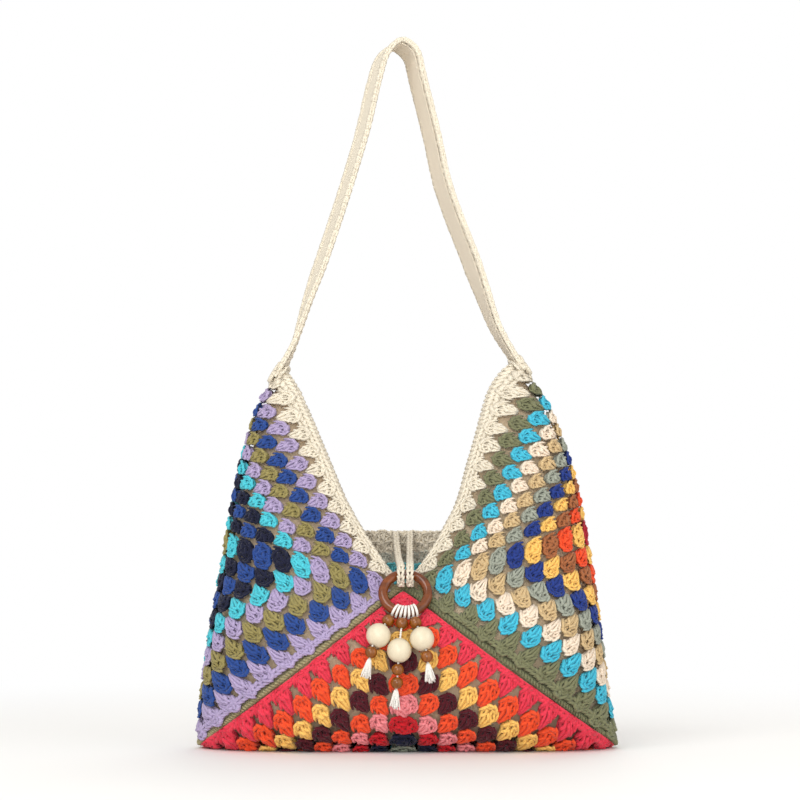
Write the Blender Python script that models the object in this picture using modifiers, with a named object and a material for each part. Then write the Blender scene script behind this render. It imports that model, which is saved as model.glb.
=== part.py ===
"""A crocheted shoulder bag joined from three granny squares, in metres with +Z up.

Each square has eleven rounds of clusters. One is folded round each side on its upright diagonal, and one is
folded under the base on its cross diagonal. Their lower edges are joined by seam ridges, and their upper edges
are the mouth. The origin is the middle of the sole, on the surface that the bag stands on. The front faces -Y.
"""

import math

import bmesh
import bpy
from mathutils import Vector

MM = 0.001

# Body of the bag
BASE_WIDTH = 356 * MM
BODY_HEIGHT = 330 * MM
FRONT_BELLY = 80 * MM
BACK_BELLY = 58 * MM
END_ROUNDING = 120 * MM
SOLE_BLEND = 80 * MM
LEFT_PEAK = 0.9833 * BODY_HEIGHT
RIGHT_PEAK = 1.0015 * BODY_HEIGHT
LEFT_CENTRE = 0.5412 * BODY_HEIGHT
RIGHT_CENTRE = 0.5597 * BODY_HEIGHT
MOUTH_FOOT = 0.4182 * BODY_HEIGHT
MOUTH_FOOT_X = -4 * MM
BACK_EDGE_HEIGHT = 0.5621 * BODY_HEIGHT
CORNER_HEIGHT = 4 * MM

# Crochet
SQUARE_SIDE = 250 * MM
ROUNDS = 11
WALL = 2.5 * MM
KNOB = 2.8 * MM
LEFT_FOLD_SHIFT = 14 * MM
RIGHT_FOLD_SHIFT = -6 * MM
EDGING_WIDTH = 11 * MM
EDGING_CLEARANCE = 1 * MM
EDGING_BULGE = 1.4 * MM
EDGING_RELIEF = (0.3 * MM, 0.2 * MM)
EDGING_SWELLS = (0.5, 1.3)
EDGING_FOOT = -0.955
EDGING_BACK_FOOT = -0.42
EDGING_FRONT_STEPS = 15
EDGING_BACK_STEPS = 10
EDGING_STRAIGHT_STEPS = 6
EDGING_PINCH = 0.03
SEAM_WIDTH = 5.8 * MM
SEAM_HEIGHT = 2.6 * MM
SEAM_STATIONS = 36
SEAM_NARROWING = 0.82
SEAM_START = 0.06
SEAM_PROFILE = ((-1, 0.1), (-0.6, 0.8), (0.6, 1.0), (1, 0.1), (0.6, -0.8), (-0.6, -0.8))
INSERT_ROWS = 4
GAP = 0.3 * MM
LINING_THICKNESS = 1 * MM
LINING_CLEARANCE = 2.4 * MM
LINING_RIM_CLEARANCE = 4.4 * MM
LINING_STEPS = 8
WELD = 0.1 * MM

# Strap
STRAP_TOP = BODY_HEIGHT + 282.5 * MM
STRAP_TOP_X = -9 * MM
STRAP_WIDTH = 36 * MM
STRAP_THICKNESS = 4 * MM
STRAP_RIDGE = 1.2 * MM
STRAP_LINING_WIDTH = 33 * MM
STRAP_LAP = 7 * MM
STRAP_YAW = math.radians(18)
STRAP_TWIST_SHARE = 0.3
STRAP_ROW_PITCH = 14.6 * MM
STRAP_BEND = 42 * MM
STRAP_BEND_PITCH = 7 * MM

# Closure
RING_DIAMETER = 45 * MM
RING_TUBE = 8 * MM
RING_X = -2 * MM
RING_STAND_OFF = 0.2 * MM
RING_FOOT_DEPTH = FRONT_BELLY + RING_STAND_OFF
RING_FOOT_HEIGHT = 0.3509 * BODY_HEIGHT
RING_TILT = math.radians(32)
RING_AXIS_DROP = 0.4 * MM
RING_SEGMENTS = (28, 8)
CORD_DIAMETER = 4 * MM
LOOP_OFFSET = 3.75 * MM
LOOP_BORE = 9.8 * MM
CORD_ROOT_SPACING = 13 * MM
CORD_SAG = 7 * MM
CORD_LEAD_POINTS = 9
LOOP_START = math.radians(108)
LOOP_TURN = math.radians(288)
LOOP_STEPS = 12
WRAP_THICKNESS = 0.6 * MM
WRAP_CLEARANCE = 0.4 * MM
WRAP_GROOVE = 0.55
WRAP_TURNS = 7
WRAP_HALF_ANGLE = math.radians(33)
CREAM_BEAD = 20 * MM
BROWN_BEAD = 10 * MM
BEAD_BORE = 2.9 * MM
STRING_DIAMETER = 2 * MM
STRING_SHOWING = 7 * MM
TASSEL_LENGTH = 16 * MM
TASSEL_WIDTH = 7 * MM
TASSEL_STEPS = 4
TASSEL_FOLDS = 5
TASSEL_FOLD_DEPTH = 0.7
TASSEL_NECK = 0.6
TASSEL_FLARE = 0.8

# Outlines, as (share of body height, share of the greatest size)
LEFT_OUTLINE = (
    (0, 1.0), (0.15, 0.975), (0.28, 0.941), (0.41, 0.902), (0.53, 0.864), (0.65, 0.83), (0.767, 0.781),
    (0.885, 0.713), (0.942, 0.654), (1.0, 0.585),
)
RIGHT_OUTLINE = (
    (0, 1.0), (0.15, 0.947), (0.28, 0.916), (0.41, 0.888), (0.53, 0.854), (0.636, 0.82), (0.727, 0.781),
    (0.806, 0.733), (0.885, 0.674), (0.948, 0.601), (1.006, 0.517),
)
FRONT_DEPTH = (
    (0, 0.5), (0.06, 0.78), (0.136, 0.93), (0.242, 1.0), (0.324, 0.955), (0.37, 0.84), (0.418, 0.67),
    (0.48, 0.59), (0.667, 0.44), (0.818, 0.33), (0.942, 0.23), (1.01, 0.19),
)
BACK_DEPTH = (
    (0, 0.69), (0.06, 0.897), (0.136, 0.983), (0.242, 1.0), (0.418, 0.862), (0.53, 0.724), (0.667, 0.6),
    (0.818, 0.46), (0.942, 0.317), (1.01, 0.262),
)
# Free edge of the mouth, as (share of the rise from foot to peak, share of the way across)
LEFT_MOUTH = ((0, 0), (0.134, 0.187), (0.268, 0.345), (0.407, 0.486), (0.592, 0.627), (0.777, 0.771),
              (0.928, 0.9), (1, 1))
RIGHT_MOUTH = ((0, 0), (0.13, 0.21), (0.26, 0.364), (0.3725, 0.479), (0.529, 0.567), (0.7086, 0.674),
               (0.8655, 0.762), (0.956, 0.882), (1, 1))
# Middle of the strap above each peak, as (share of the rise to the top, share of the way to the top's place)
LEFT_LIMB = ((0.1, 0.14), (0.36, 0.4), (0.7, 0.69), (0.9, 0.82), (0.968, 0.885))
RIGHT_LIMB = ((0.13, 0.22), (0.34, 0.43), (0.54, 0.62), (0.71, 0.72), (0.9, 0.84), (0.968, 0.888))
END_ROUNDING_REACH = 1.15
END_ROUNDING_POWER = 1.1
SECTION_POWER = 2.2
ROW_SAG = 1.2
WALK_STEPS = 28
CORNER_DIP = 0.05

CREAM = (240, 228, 205)
LEFT_ROUNDS = (
    (146, 136, 82), (146, 136, 82), (66, 198, 216), (22, 28, 66), (40, 78, 152), (22, 28, 66), (66, 198, 216),
    (172, 158, 208), (146, 136, 82), (40, 78, 152), (172, 158, 208),
)
RIGHT_ROUNDS = (
    (175, 20, 45), (248, 200, 105), (240, 80, 35), (165, 100, 60), (248, 200, 105), (32, 60, 140),
    (150, 158, 150), (205, 178, 135), (240, 222, 200), (60, 190, 222), (125, 126, 97),
)
BOTTOM_ROUNDS = (
    (40, 150, 165), (40, 150, 165), (130, 135, 120), (22, 28, 66), (200, 20, 35), (240, 140, 145),
    (240, 80, 35), (90, 15, 30), (248, 200, 105), (240, 80, 35), (230, 55, 80),
)
INSERT_ROUNDS = ((66, 198, 216), (66, 198, 216), (150, 158, 150), (150, 158, 150))

COTTON_WHITE = (245, 240, 232)
KHAKI = (160, 150, 112)
SAGE = (125, 126, 97)
LINING_BEIGE = (200, 175, 145)
STRAP_LINING_CREAM = (245, 225, 205)
RING_BROWN = (120, 55, 15)
YARN_ROUGHNESS = 0.85
CLOTH_ROUGHNESS = 0.9
VARNISH_ROUGHNESS = 0.28

# Beads, as (diameter, colour, segments)
BEAD_KINDS = {"cream": (CREAM_BEAD, (240, 228, 200), 12), "brown": (BROWN_BEAD, (125, 75, 25), 8)}
# Each string's first bead, as (place along the swing line, reach from it, lean), then its beads from the
# top, as (name, kind, lean to the right and outwards in degrees, string showing above)
STRINGS = {
    "left": ((-14.2 * MM, 7.8 * MM, 36), (
        ("top_bead_left", "brown", (-34, 36), 0),
        ("cream_bead_left", "cream", (-28, 24), 0),
        ("lower_bead_left", "brown", (-12, 6), 0),
    )),
    "middle": ((-3.0 * MM, 10.9 * MM, 37), (
        ("top_bead_middle", "brown", (-6, 26), 0),
        ("cream_bead_middle", "cream", (-5, 10), STRING_SHOWING),
        ("lower_bead_middle", "brown", (-3, 2), 0),
        ("lowest_bead_middle", "brown", (-5, -3), 0),
    )),
    "right": ((8.2 * MM, 9.7 * MM, 36), (
        ("top_bead_right", "brown", (22, 34), 0),
        ("cream_bead_right", "cream", (18, 24), 0),
        ("lower_bead_right", "brown", (8, 6), 0),
    )),
}


def clear_scene():
    for item in list(bpy.data.objects):
        bpy.data.objects.remove(item, do_unlink=True)


def collection(name):
    made = bpy.data.collections.new(name)
    bpy.context.scene.collection.children.link(made)
    return made


def linear(colour):
    """An sRGB colour from 0 to 255 as the shader's linear value."""
    shares = [part / 255 for part in colour]
    return [s / 12.92 if s <= 0.04045 else ((s + 0.055) / 1.055) ** 2.4 for s in shares] + [1]


def material(name, colour, roughness, metallic=0.0):
    made = bpy.data.materials.new(name)
    made.use_nodes = True
    shader = made.node_tree.nodes["Principled BSDF"]
    shader.inputs["Base Color"].default_value = linear(colour)
    shader.inputs["Roughness"].default_value = roughness
    shader.inputs["Metallic"].default_value = metallic
    return made


def object_from(name, bm, materials, parts):
    """A mesh object made from a bmesh, with its faces turned outwards."""
    bmesh.ops.recalc_face_normals(bm, faces=bm.faces[:])
    mesh = bpy.data.meshes.new(name)
    bm.to_mesh(mesh)
    bm.free()
    for each in materials:
        mesh.materials.append(each)
    made = bpy.data.objects.new(name, mesh)
    parts.objects.link(made)
    return made


def loft(name, rings, materials, parts, looped=False):
    """A closed solid through rings of as many points each, capped at its ends unless it is looped."""
    bm = bmesh.new()
    rows = [[bm.verts.new(point) for point in ring] for ring in rings]
    count = len(rows[0])
    pairs = list(zip(rows, rows[1:] + rows[:1])) if looped else list(zip(rows, rows[1:]))
    for low, high in pairs:
        for i in range(count):
            j = (i + 1) % count
            bm.faces.new((low[i], low[j], high[j], high[i]))
    if not looped:
        bm.faces.new(rows[0][::-1])
        bm.faces.new(rows[-1])
    return object_from(name, bm, materials, parts)


def smooth(stations, place):
    """The value at a place on the smooth curve through (place, value) stations."""
    last = len(stations) - 1
    if place <= stations[0][0]:
        return stations[0][1]
    if place >= stations[last][0]:
        return stations[last][1]
    i = max(k for k in range(last) if stations[k][0] <= place)

    def slope(k):
        before, after = stations[max(k - 1, 0)], stations[min(k + 1, last)]
        return (after[1] - before[1]) / (after[0] - before[0])

    span = stations[i + 1][0] - stations[i][0]
    t = (place - stations[i][0]) / span
    start = stations[i][1] * (1 + 2 * t) * (1 - t) ** 2 + slope(i) * span * t * (1 - t) ** 2
    end = stations[i + 1][1] * t * t * (3 - 2 * t) + slope(i + 1) * span * t * t * (t - 1)
    return start + end


def smooth_line(points, count):
    """Evenly spaced points on a smooth curve through the given points."""
    places = [0.0]
    for a, b in zip(points, points[1:]):
        places.append(places[-1] + (Vector(b) - Vector(a)).length)
    axes = [tuple(zip(places, [point[k] for point in points])) for k in range(3)]
    fine = [places[-1] * i / (8 * count) for i in range(8 * count + 1)]
    curve = [Vector([smooth(axis, place) for axis in axes]) for place in fine]
    return respaced(curve, count)


def respaced(line, count):
    """As many points as asked for, equally far apart along a line of many points."""
    run = [0.0]
    for a, b in zip(line, line[1:]):
        run.append(run[-1] + (b - a).length)
    out = []
    i = 0
    for k in range(count):
        target = run[-1] * k / (count - 1)
        while i < len(run) - 2 and run[i + 1] < target:
            i += 1
        share = (target - run[i]) / (run[i + 1] - run[i])
        out.append(line[i].lerp(line[i + 1], min(share, 1.0)))
    return out


def section(height):
    """(left, right, front depth, back depth, length of the rounded ends) of the bag's outline at a height."""
    share = height / BODY_HEIGHT
    left = -BASE_WIDTH / 2 * smooth(LEFT_OUTLINE, share)
    right = BASE_WIDTH / 2 * smooth(RIGHT_OUTLINE, share)
    front = FRONT_BELLY * smooth(FRONT_DEPTH, share)
    back = BACK_BELLY * smooth(BACK_DEPTH, share)
    rounding = END_ROUNDING * (1 - share / END_ROUNDING_REACH) ** END_ROUNDING_POWER
    return left, right, front, back, rounding


def wall_y(outline, x, forward):
    """Where the front or back wall stands at x, in an outline that section() gave."""
    left, right, front, back, rounding = outline
    inward = max(0.0, min(x - left, right - x))
    share = min(inward / rounding, 1.0)
    deep = (1 - (1 - share) ** SECTION_POWER) ** (1 / SECTION_POWER)
    return -front * deep if forward else back * deep


def lift(point, depth):
    """A point of the bag's skin moved into the bag by a depth, or out of it where the depth is negative."""
    x, y, z = point
    left, right, front, back, _ = section(z)
    middle, half = (left + right) / 2, (right - left) / 2
    deep = front if y < 0 else back
    sole = max(0.0, 1 - z / SOLE_BLEND)
    return Vector((
        middle + (x - middle) * (half - depth) / half,
        y * (deep - depth) / deep,
        max(0.0, z + depth * sole),
    ))


def mouth_x(side, height):
    """Where the mouth's free edge stands at a height, on the front and on the back alike."""
    peak = LEFT_PEAK if side < 0 else RIGHT_PEAK
    fold = section(peak)[0 if side < 0 else 1]
    share = (height - MOUTH_FOOT) / (peak - MOUTH_FOOT)
    return MOUTH_FOOT_X + (fold - MOUTH_FOOT_X) * smooth(LEFT_MOUTH if side < 0 else RIGHT_MOUTH, share)


def corner_x(side):
    return section(CORNER_HEIGHT)[0 if side < 0 else 1]


def seam_height(x):
    """Height of the seam's middle line at x."""
    side = -1 if x < MOUTH_FOOT_X else 1
    share = (x - MOUTH_FOOT_X) / (corner_x(side) - MOUTH_FOOT_X)
    return MOUTH_FOOT + (CORNER_HEIGHT - MOUTH_FOOT) * share


def seam_x(side, height):
    share = (height - MOUTH_FOOT) / (CORNER_HEIGHT - MOUTH_FOOT)
    return MOUTH_FOOT_X + (corner_x(side) - MOUTH_FOOT_X) * share


def walk_table(side, height, forward, reach):
    """(distance in from the side fold, arc length) along one wall at a height."""
    outline = section(height)
    fold = outline[0 if side < 0 else 1]
    table = [(0.0, 0.0)]
    last = Vector((0, 0))
    for i in range(1, WALK_STEPS + 1):
        inward = reach * (i / WALK_STEPS) ** 2
        here = Vector((inward, wall_y(outline, fold - side * inward, forward)))
        table.append((inward, table[-1][1] + (here - last).length))
        last = here
    return table


def walk(side, height, length):
    """The skin's point at an arc length from the side fold, forwards where the length is positive."""
    outline = section(height)
    fold = outline[0 if side < 0 else 1]
    table = walk_table(side, height, length >= 0, 0.56 * (outline[1] - outline[0]))
    target = min(abs(length), table[-1][1])
    i = max(k for k in range(len(table) - 1) if table[k][1] <= target)
    share = (target - table[i][1]) / (table[i + 1][1] - table[i][1])
    x = fold - side * (table[i][0] + (table[i + 1][0] - table[i][0]) * share)
    return Vector((x, wall_y(outline, x, length >= 0), height))


def side_place(side, ahead, up):
    """The skin's point on a folded side square: ahead and up run from -1 to 1 along its diagonals."""
    peak, centre, shift = (
        (LEFT_PEAK, LEFT_CENTRE, LEFT_FOLD_SHIFT)
        if side < 0
        else (RIGHT_PEAK, RIGHT_CENTRE, RIGHT_FOLD_SHIFT)
    )
    end = peak if up > 0 else CORNER_HEIGHT
    fold_height = centre + (end - centre) * abs(up)
    edge_height = MOUTH_FOOT + (end - MOUTH_FOOT) * abs(up)
    room = max(1 - abs(up), 1e-6)
    share = min(abs(ahead) / room, 1.0)
    height = fold_height + (edge_height - fold_height) * share ** ROW_SAG
    edge_x = mouth_x(side, edge_height) if up > 0 else seam_x(side, edge_height)
    inward = abs(edge_x - section(edge_height)[0 if side < 0 else 1])
    full = walk_table(side, edge_height, ahead >= 0, max(inward, 1e-6))[-1][1]
    start = -shift * room
    if ahead >= 0:
        return walk(side, height, start + share * (full - start))
    return walk(side, height, start - share * (full + start))


def base_place(across, ahead):
    """The skin's point on the bottom square: across runs right and ahead runs forwards, from -1 to 1."""
    side = -1 if across < 0 else 1
    x = MOUTH_FOOT_X + (corner_x(side) - MOUTH_FOOT_X) * abs(across)
    room = max(1 - abs(across), 1e-6)
    share = min(abs(ahead) / room, 1.0)
    top = seam_height(x)
    column = [Vector((x, 0, 0))]
    for i in range(WALK_STEPS):
        z = top * i / (WALK_STEPS - 1)
        column.append(Vector((x, wall_y(section(z), x, ahead >= 0), z)))
    lengths = [0.0]
    for a, b in zip(column, column[1:]):
        lengths.append(lengths[-1] + (b - a).length)
    target = share * lengths[-1]
    i = max(k for k in range(len(lengths) - 1) if lengths[k] <= target)
    step = max(lengths[i + 1] - lengths[i], 1e-9)
    return column[i].lerp(column[i + 1], (target - lengths[i]) / step)


def edge_share():
    """How far out a side square reaches towards the mouth, with the edging beyond it."""
    return 1 - (EDGING_WIDTH + EDGING_CLEARANCE) / (SQUARE_SIDE / 2)


def seam_share():
    """How far out a square reaches towards a seam, with half the ridge and its narrowing beyond it."""
    return 1 - SEAM_WIDTH / SQUARE_SIDE


def side_surface(side):
    """Maps (p, q), each from -1 to 1 along the sides of a side square, to the skin."""
    def place(p, q):
        p *= edge_share() if p > 0 else seam_share()
        q *= edge_share() if q > 0 else seam_share()
        return side_place(side, (p - q) / 2, (p + q) / 2)
    return place


def base_surface(p, q):
    """Maps (p, q), each from -1 to 1 along the sides of the bottom square, to the skin."""
    across = (p - q) / 2 * seam_share()
    ahead = (p + q) / 2 * seam_share()
    ahead *= 1 - CORNER_DIP * ahead ** 8
    return base_place(across, ahead)


def round_points(number):
    """The (p, q) places of the gaps round one round of a granny square."""
    if number == 0:
        return [(0.0, 0.0)]
    corners = ((1, 1), (-1, 1), (-1, -1), (1, -1))
    out = []
    for side in range(4):
        here, there = corners[side], corners[(side + 1) % 4]
        for k in range(number):
            share = k / number
            out.append(tuple((a * (1 - share) + b * share) * number / ROUNDS for a, b in zip(here, there)))
    return out


def square_faces():
    """Each cluster's round, inner gap and two outer gaps, and the three gaps round each space, by index."""
    start = [0] + [1 + 2 * n * (n - 1) for n in range(1, ROUNDS + 1)]
    clusters, spaces = [], []
    for number in range(ROUNDS):
        outer = number + 1
        for side in range(4):
            for k in range(outer):
                inner = start[number] + (side * number + k) % max(4 * number, 1)
                first = start[outer] + side * outer + k
                second = start[outer] + (side * outer + k + 1) % (4 * outer)
                clusters.append((number, inner, first, second))
                if k < number:
                    beside = start[number] + (side * number + k + 1) % (4 * number)
                    spaces.append((number, inner, beside, second))
    return clusters, spaces


def crochet_shell(name, places, surface, clusters, spaces, rim, materials, parts):
    """A crocheted piece: a raised knob on each cluster, recessed spaces between and a plain wrong side."""
    bm = bmesh.new()
    outer = [bm.verts.new(lift(surface(*place), 0)) for place in places]
    inner = [bm.verts.new(lift(surface(*place), WALL)) for place in places]
    for number, *corner in clusters:
        middle = [sum(places[c][k] * w for c, w in zip(corner, (0.24, 0.38, 0.38))) for k in (0, 1)]
        knob = bm.verts.new(lift(surface(*middle), -KNOB))
        for a, b in ((0, 1), (1, 2), (2, 0)):
            face = bm.faces.new((outer[corner[a]], outer[corner[b]], knob))
            face.material_index = number
        bm.faces.new([inner[c] for c in corner[::-1]]).material_index = number
    for number, *corner in spaces:
        bm.faces.new([outer[c] for c in corner]).material_index = number
        bm.faces.new([inner[c] for c in corner[::-1]]).material_index = number
    for a, b in zip(rim, rim[1:] + rim[:1]):
        bm.faces.new((outer[a], inner[a], inner[b], outer[b])).material_index = len(materials) - 1
    return object_from(name, bm, materials, parts)


def granny_square(name, surface, colours, parts):
    places = [place for number in range(ROUNDS + 1) for place in round_points(number)]
    clusters, spaces = square_faces()
    rim = list(range(len(places) - 4 * ROUNDS, len(places)))
    materials = [
        material(f"{name}_round_{i + 1}", colour, YARN_ROUGHNESS) for i, colour in enumerate(colours)
    ]
    return crochet_shell(name, places, surface, clusters, spaces, rim, materials, parts)


def back_edge_place(side, reach, height):
    """The skin's point at a height beside the mouth's back edge, where a reach of 1 is the free edge."""
    low, high = 0.0, 1.0
    for _ in range(20):
        up = (low + high) / 2
        place = side_place(side, up - reach, up)
        low, high = (up, high) if place.z < height else (low, up)
    return place


def insert_surface(row, share):
    """Maps a row from 0 at the foot to 1 at the top, and a share of its width, to the back wall."""
    reach = 1 - (EDGING_WIDTH - EDGING_CLEARANCE) / (SQUARE_SIDE / 2)
    top = BACK_EDGE_HEIGHT - EDGING_WIDTH - EDGING_CLEARANCE
    height = MOUTH_FOOT + (top - MOUTH_FOOT) * row
    left, right = (back_edge_place(side, reach, height).x for side in (-1, 1))
    x = left + (right - left) * share
    return Vector((x, wall_y(section(height), x, False), height))


def back_insert(parts):
    """A wedge of crochet, wrong side towards the mouth, that fills the foot of the mouth at the back."""
    places = [
        (row / INSERT_ROWS, k / row if row else 0.5) for row in range(INSERT_ROWS + 1) for k in range(row + 1)
    ]
    index = [row * (row + 1) // 2 for row in range(INSERT_ROWS + 2)]
    clusters, spaces = [], []
    for row in range(INSERT_ROWS):
        for k in range(row + 1):
            clusters.append((row, index[row] + k, index[row + 1] + k, index[row + 1] + k + 1))
            if k < row:
                spaces.append((row, index[row] + k, index[row] + k + 1, index[row + 1] + k + 1))
    left = [index[row] for row in range(INSERT_ROWS + 1)]
    top = [index[INSERT_ROWS] + k for k in range(1, INSERT_ROWS + 1)]
    right = [index[row + 1] - 1 for row in range(INSERT_ROWS - 1, 0, -1)]
    materials = [
        material(f"back_insert_row_{i + 1}", colour, YARN_ROUGHNESS) for i, colour in enumerate(INSERT_ROUNDS)
    ]
    return crochet_shell(
        "back_insert", places, insert_surface, clusters, spaces, left + top + right, materials, parts
    )


def seam_line(side):
    """The seam's middle line on the skin, from the front foot of the mouth round the corner to the back."""
    fine = 120
    line = []
    for forward in (True, False):
        half = []
        for i in range(fine + 1):
            share = 1 - (1 - SEAM_START) * (1 - i / fine) ** 2
            x = MOUTH_FOOT_X + (corner_x(side) - MOUTH_FOOT_X) * share
            height = seam_height(x)
            half.append(Vector((x, wall_y(section(height), x, forward), height)))
        line += half if forward else half[::-1][1:]
    return line


def seam(side, name, colour, parts):
    """A ridge of slanting joining stitches, swelling and narrowing once for each stitch pair."""
    line = respaced(seam_line(side), SEAM_STATIONS)
    rings = []
    for i, here in enumerate(line):
        ahead = (line[min(i + 1, len(line) - 1)] - line[max(i - 1, 0)]).normalized()
        out = (lift(here, -MM) - lift(here, MM)).normalized()
        out = (out - ahead * out.dot(ahead)).normalized()
        across = ahead.cross(out)
        swell = 1.0 if i % 2 else SEAM_NARROWING
        ring = []
        for share, rise in SEAM_PROFILE:
            point = here + across * share * SEAM_WIDTH / 2 * swell + out * rise * SEAM_HEIGHT * swell
            ring.append(Vector((point.x, point.y, max(point.z, 0.0))))
        rings.append(ring)
    return loft(name, rings, [material(name, colour, YARN_ROUGHNESS)], parts)


def edging_stations():
    """(free edge, inner edge) pairs of skin points all round the mouth."""
    inner = 1 - EDGING_WIDTH / (SQUARE_SIDE / 2)
    tip = inner - EDGING_PINCH

    def pair(side, along, forward):
        pinched = min(along, tip + (along - tip) * (inner - tip) / (1 - tip))
        free = ((1 - along) / 2, (1 + along) / 2)
        held = ((inner - pinched) / 2, (inner + pinched) / 2)
        turn = 1 if forward else -1
        return tuple(side_place(side, turn * ahead, up) for ahead, up in (free, held))

    def corner(side):
        held = back_edge_place(side, inner, BACK_EDGE_HEIGHT - EDGING_WIDTH)
        return back_edge_place(side, 1, BACK_EDGE_HEIGHT), held

    front_step = (1 - EDGING_FOOT) / EDGING_FRONT_STEPS
    back_step = (1 - EDGING_BACK_FOOT) / EDGING_BACK_STEPS
    front_steps = [EDGING_FOOT + front_step * i for i in range(EDGING_FRONT_STEPS + 1)]
    back_steps = [1 - back_step * i for i in range(1, EDGING_BACK_STEPS + 1)]
    corners = [corner(-1), corner(1)]
    flat = []
    for i in range(1, EDGING_STRAIGHT_STEPS):
        share = i / EDGING_STRAIGHT_STEPS
        row = []
        for k in (0, 1):
            x = corners[0][k].x + (corners[1][k].x - corners[0][k].x) * share
            z = corners[0][k].z + (corners[1][k].z - corners[0][k].z) * share
            row.append(Vector((x, wall_y(section(z), x, False), z)))
        flat.append(tuple(row))
    left = [pair(-1, s, True) for s in front_steps] + [pair(-1, s, False) for s in back_steps]
    right = [pair(1, s, True) for s in front_steps] + [pair(1, s, False) for s in back_steps]
    return left + [corners[0]] + flat + [corners[1]] + right[::-1]


def mouth_edging(parts):
    """One band round the mouth: a chain along its free edge and a fan swelling over every other station."""
    rings = []
    for i, (free, held) in enumerate(edging_stations()):
        middle = free.lerp(held, 0.55)
        bulge = EDGING_BULGE * EDGING_SWELLS[i % 2]
        rings.append([
            lift(free, -EDGING_RELIEF[0]), lift(middle, -bulge), lift(held, -EDGING_RELIEF[1]),
            lift(held, WALL), lift(free, WALL),
        ])
    return loft("mouth_edging", rings, [material("mouth_edging", CREAM, YARN_ROUGHNESS)], parts, looped=True)


def bag_lining(parts):
    """Plain cloth inside the three squares, open at the mouth."""
    ticks = [2 * i / LINING_STEPS - 1 for i in range(LINING_STEPS + 1)]
    bm = bmesh.new()
    rim = WALL + LINING_RIM_CLEARANCE

    def patch(place):
        grid = []
        for p in ticks:
            row = []
            for q in ticks:
                near_mouth, point = place(p, q)
                depth = rim + LINING_CLEARANCE * (1 - near_mouth ** 6)
                row.append(bm.verts.new(lift(point, depth)))
            grid.append(row)
        for i in range(LINING_STEPS):
            for j in range(LINING_STEPS):
                bm.faces.new((grid[i][j], grid[i + 1][j], grid[i + 1][j + 1], grid[i][j + 1]))

    for side in (-1, 1):
        patch(lambda p, q: (max(p, q, 0), side_place(side, (p - q) / 2, (p + q) / 2)))
    patch(lambda p, q: (max(0, min(p, q), min(-p, -q)), base_place((p - q) / 2, (p + q) / 2)))
    bmesh.ops.remove_doubles(bm, verts=bm.verts[:], dist=WELD)
    bmesh.ops.triangulate(bm, faces=bm.faces[:])
    made = object_from("bag_lining", bm, [material("bag_lining", LINING_BEIGE, CLOTH_ROUGHNESS)], parts)
    shell = made.modifiers.new("cloth", "SOLIDIFY")
    shell.thickness = LINING_THICKNESS
    shell.offset = -1
    return made


def strap_line():
    """The strap's middle line, from its left end over the top to its right end."""
    clear = KNOB + LINING_THICKNESS + 2 * GAP + STRAP_THICKNESS / 2
    ends = []
    for side, peak, limb in ((-1, LEFT_PEAK, LEFT_LIMB), (1, RIGHT_PEAK, RIGHT_LIMB)):
        points = []
        for drop in (STRAP_LAP, 0):
            fold = section(peak - drop)[0 if side < 0 else 1]
            points.append(Vector((fold + side * clear, 0, peak - drop)))
        start = points[-1]
        for rise, across in limb:
            x = start.x + (STRAP_TOP_X - start.x) * across
            points.append(Vector((x, 0, start.z + (STRAP_TOP - start.z) * rise)))
        ends.append(points)
    return ends[0] + [Vector((STRAP_TOP_X, 0, STRAP_TOP))] + ends[1][::-1]


def strap_stations():
    """Points along the strap's middle line, closer together where it bends over at the top."""
    fine = smooth_line(strap_line(), 1200)
    step = (fine[1] - fine[0]).length
    top = max(range(len(fine)), key=lambda i: fine[i].z)
    bend = round(STRAP_BEND / step)
    stretches = (
        (0, top - bend, STRAP_ROW_PITCH), (top - bend, top + bend, STRAP_BEND_PITCH),
        (top + bend, len(fine) - 1, STRAP_ROW_PITCH),
    )
    places = []
    for start, end, pitch in stretches:
        count = max(round((end - start) * step / pitch), 1)
        places += [start + (end - start) * i / count for i in range(count)]
    return [fine[round(place)] for place in places] + [fine[-1]]


def strap_band(name, near, far, width, ridge, colour, roughness, parts):
    """A band along the strap's line between two depths, measured towards its inner face."""
    line = strap_stations()
    low = min(LEFT_PEAK, RIGHT_PEAK)
    rings = []
    for i, here in enumerate(line):
        ahead = (line[min(i + 1, len(line) - 1)] - line[max(i - 1, 0)]).normalized()
        turned = (here.z - low) / (STRAP_TWIST_SHARE * (STRAP_TOP - low))
        yaw = STRAP_YAW * min(1.0, max(0.0, turned))
        across = Vector((math.sin(yaw), -math.cos(yaw), 0))
        inward = ahead.cross(Vector((0, -1, 0))).normalized()
        swell = ridge if i % 2 else 0.0
        shape = [(0.5, far), (-0.5, far), (-0.5, near)]
        if ridge:
            shape += [(-0.25, near - swell), (0.25, near - swell)]
        shape += [(0.5, near)]
        rings.append([here + across * share * width + inward * depth for share, depth in shape])
    return loft(name, rings, [material(name, colour, roughness)], parts)


def strap(parts):
    half = STRAP_THICKNESS / 2
    strap_band("strap", -half, half, STRAP_WIDTH, STRAP_RIDGE, CREAM, YARN_ROUGHNESS, parts)
    inner = half + GAP
    strap_band(
        "strap_lining", inner, inner + LINING_THICKNESS, STRAP_LINING_WIDTH, 0.0, STRAP_LINING_CREAM,
        CLOTH_ROUGHNESS, parts,
    )


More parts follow.
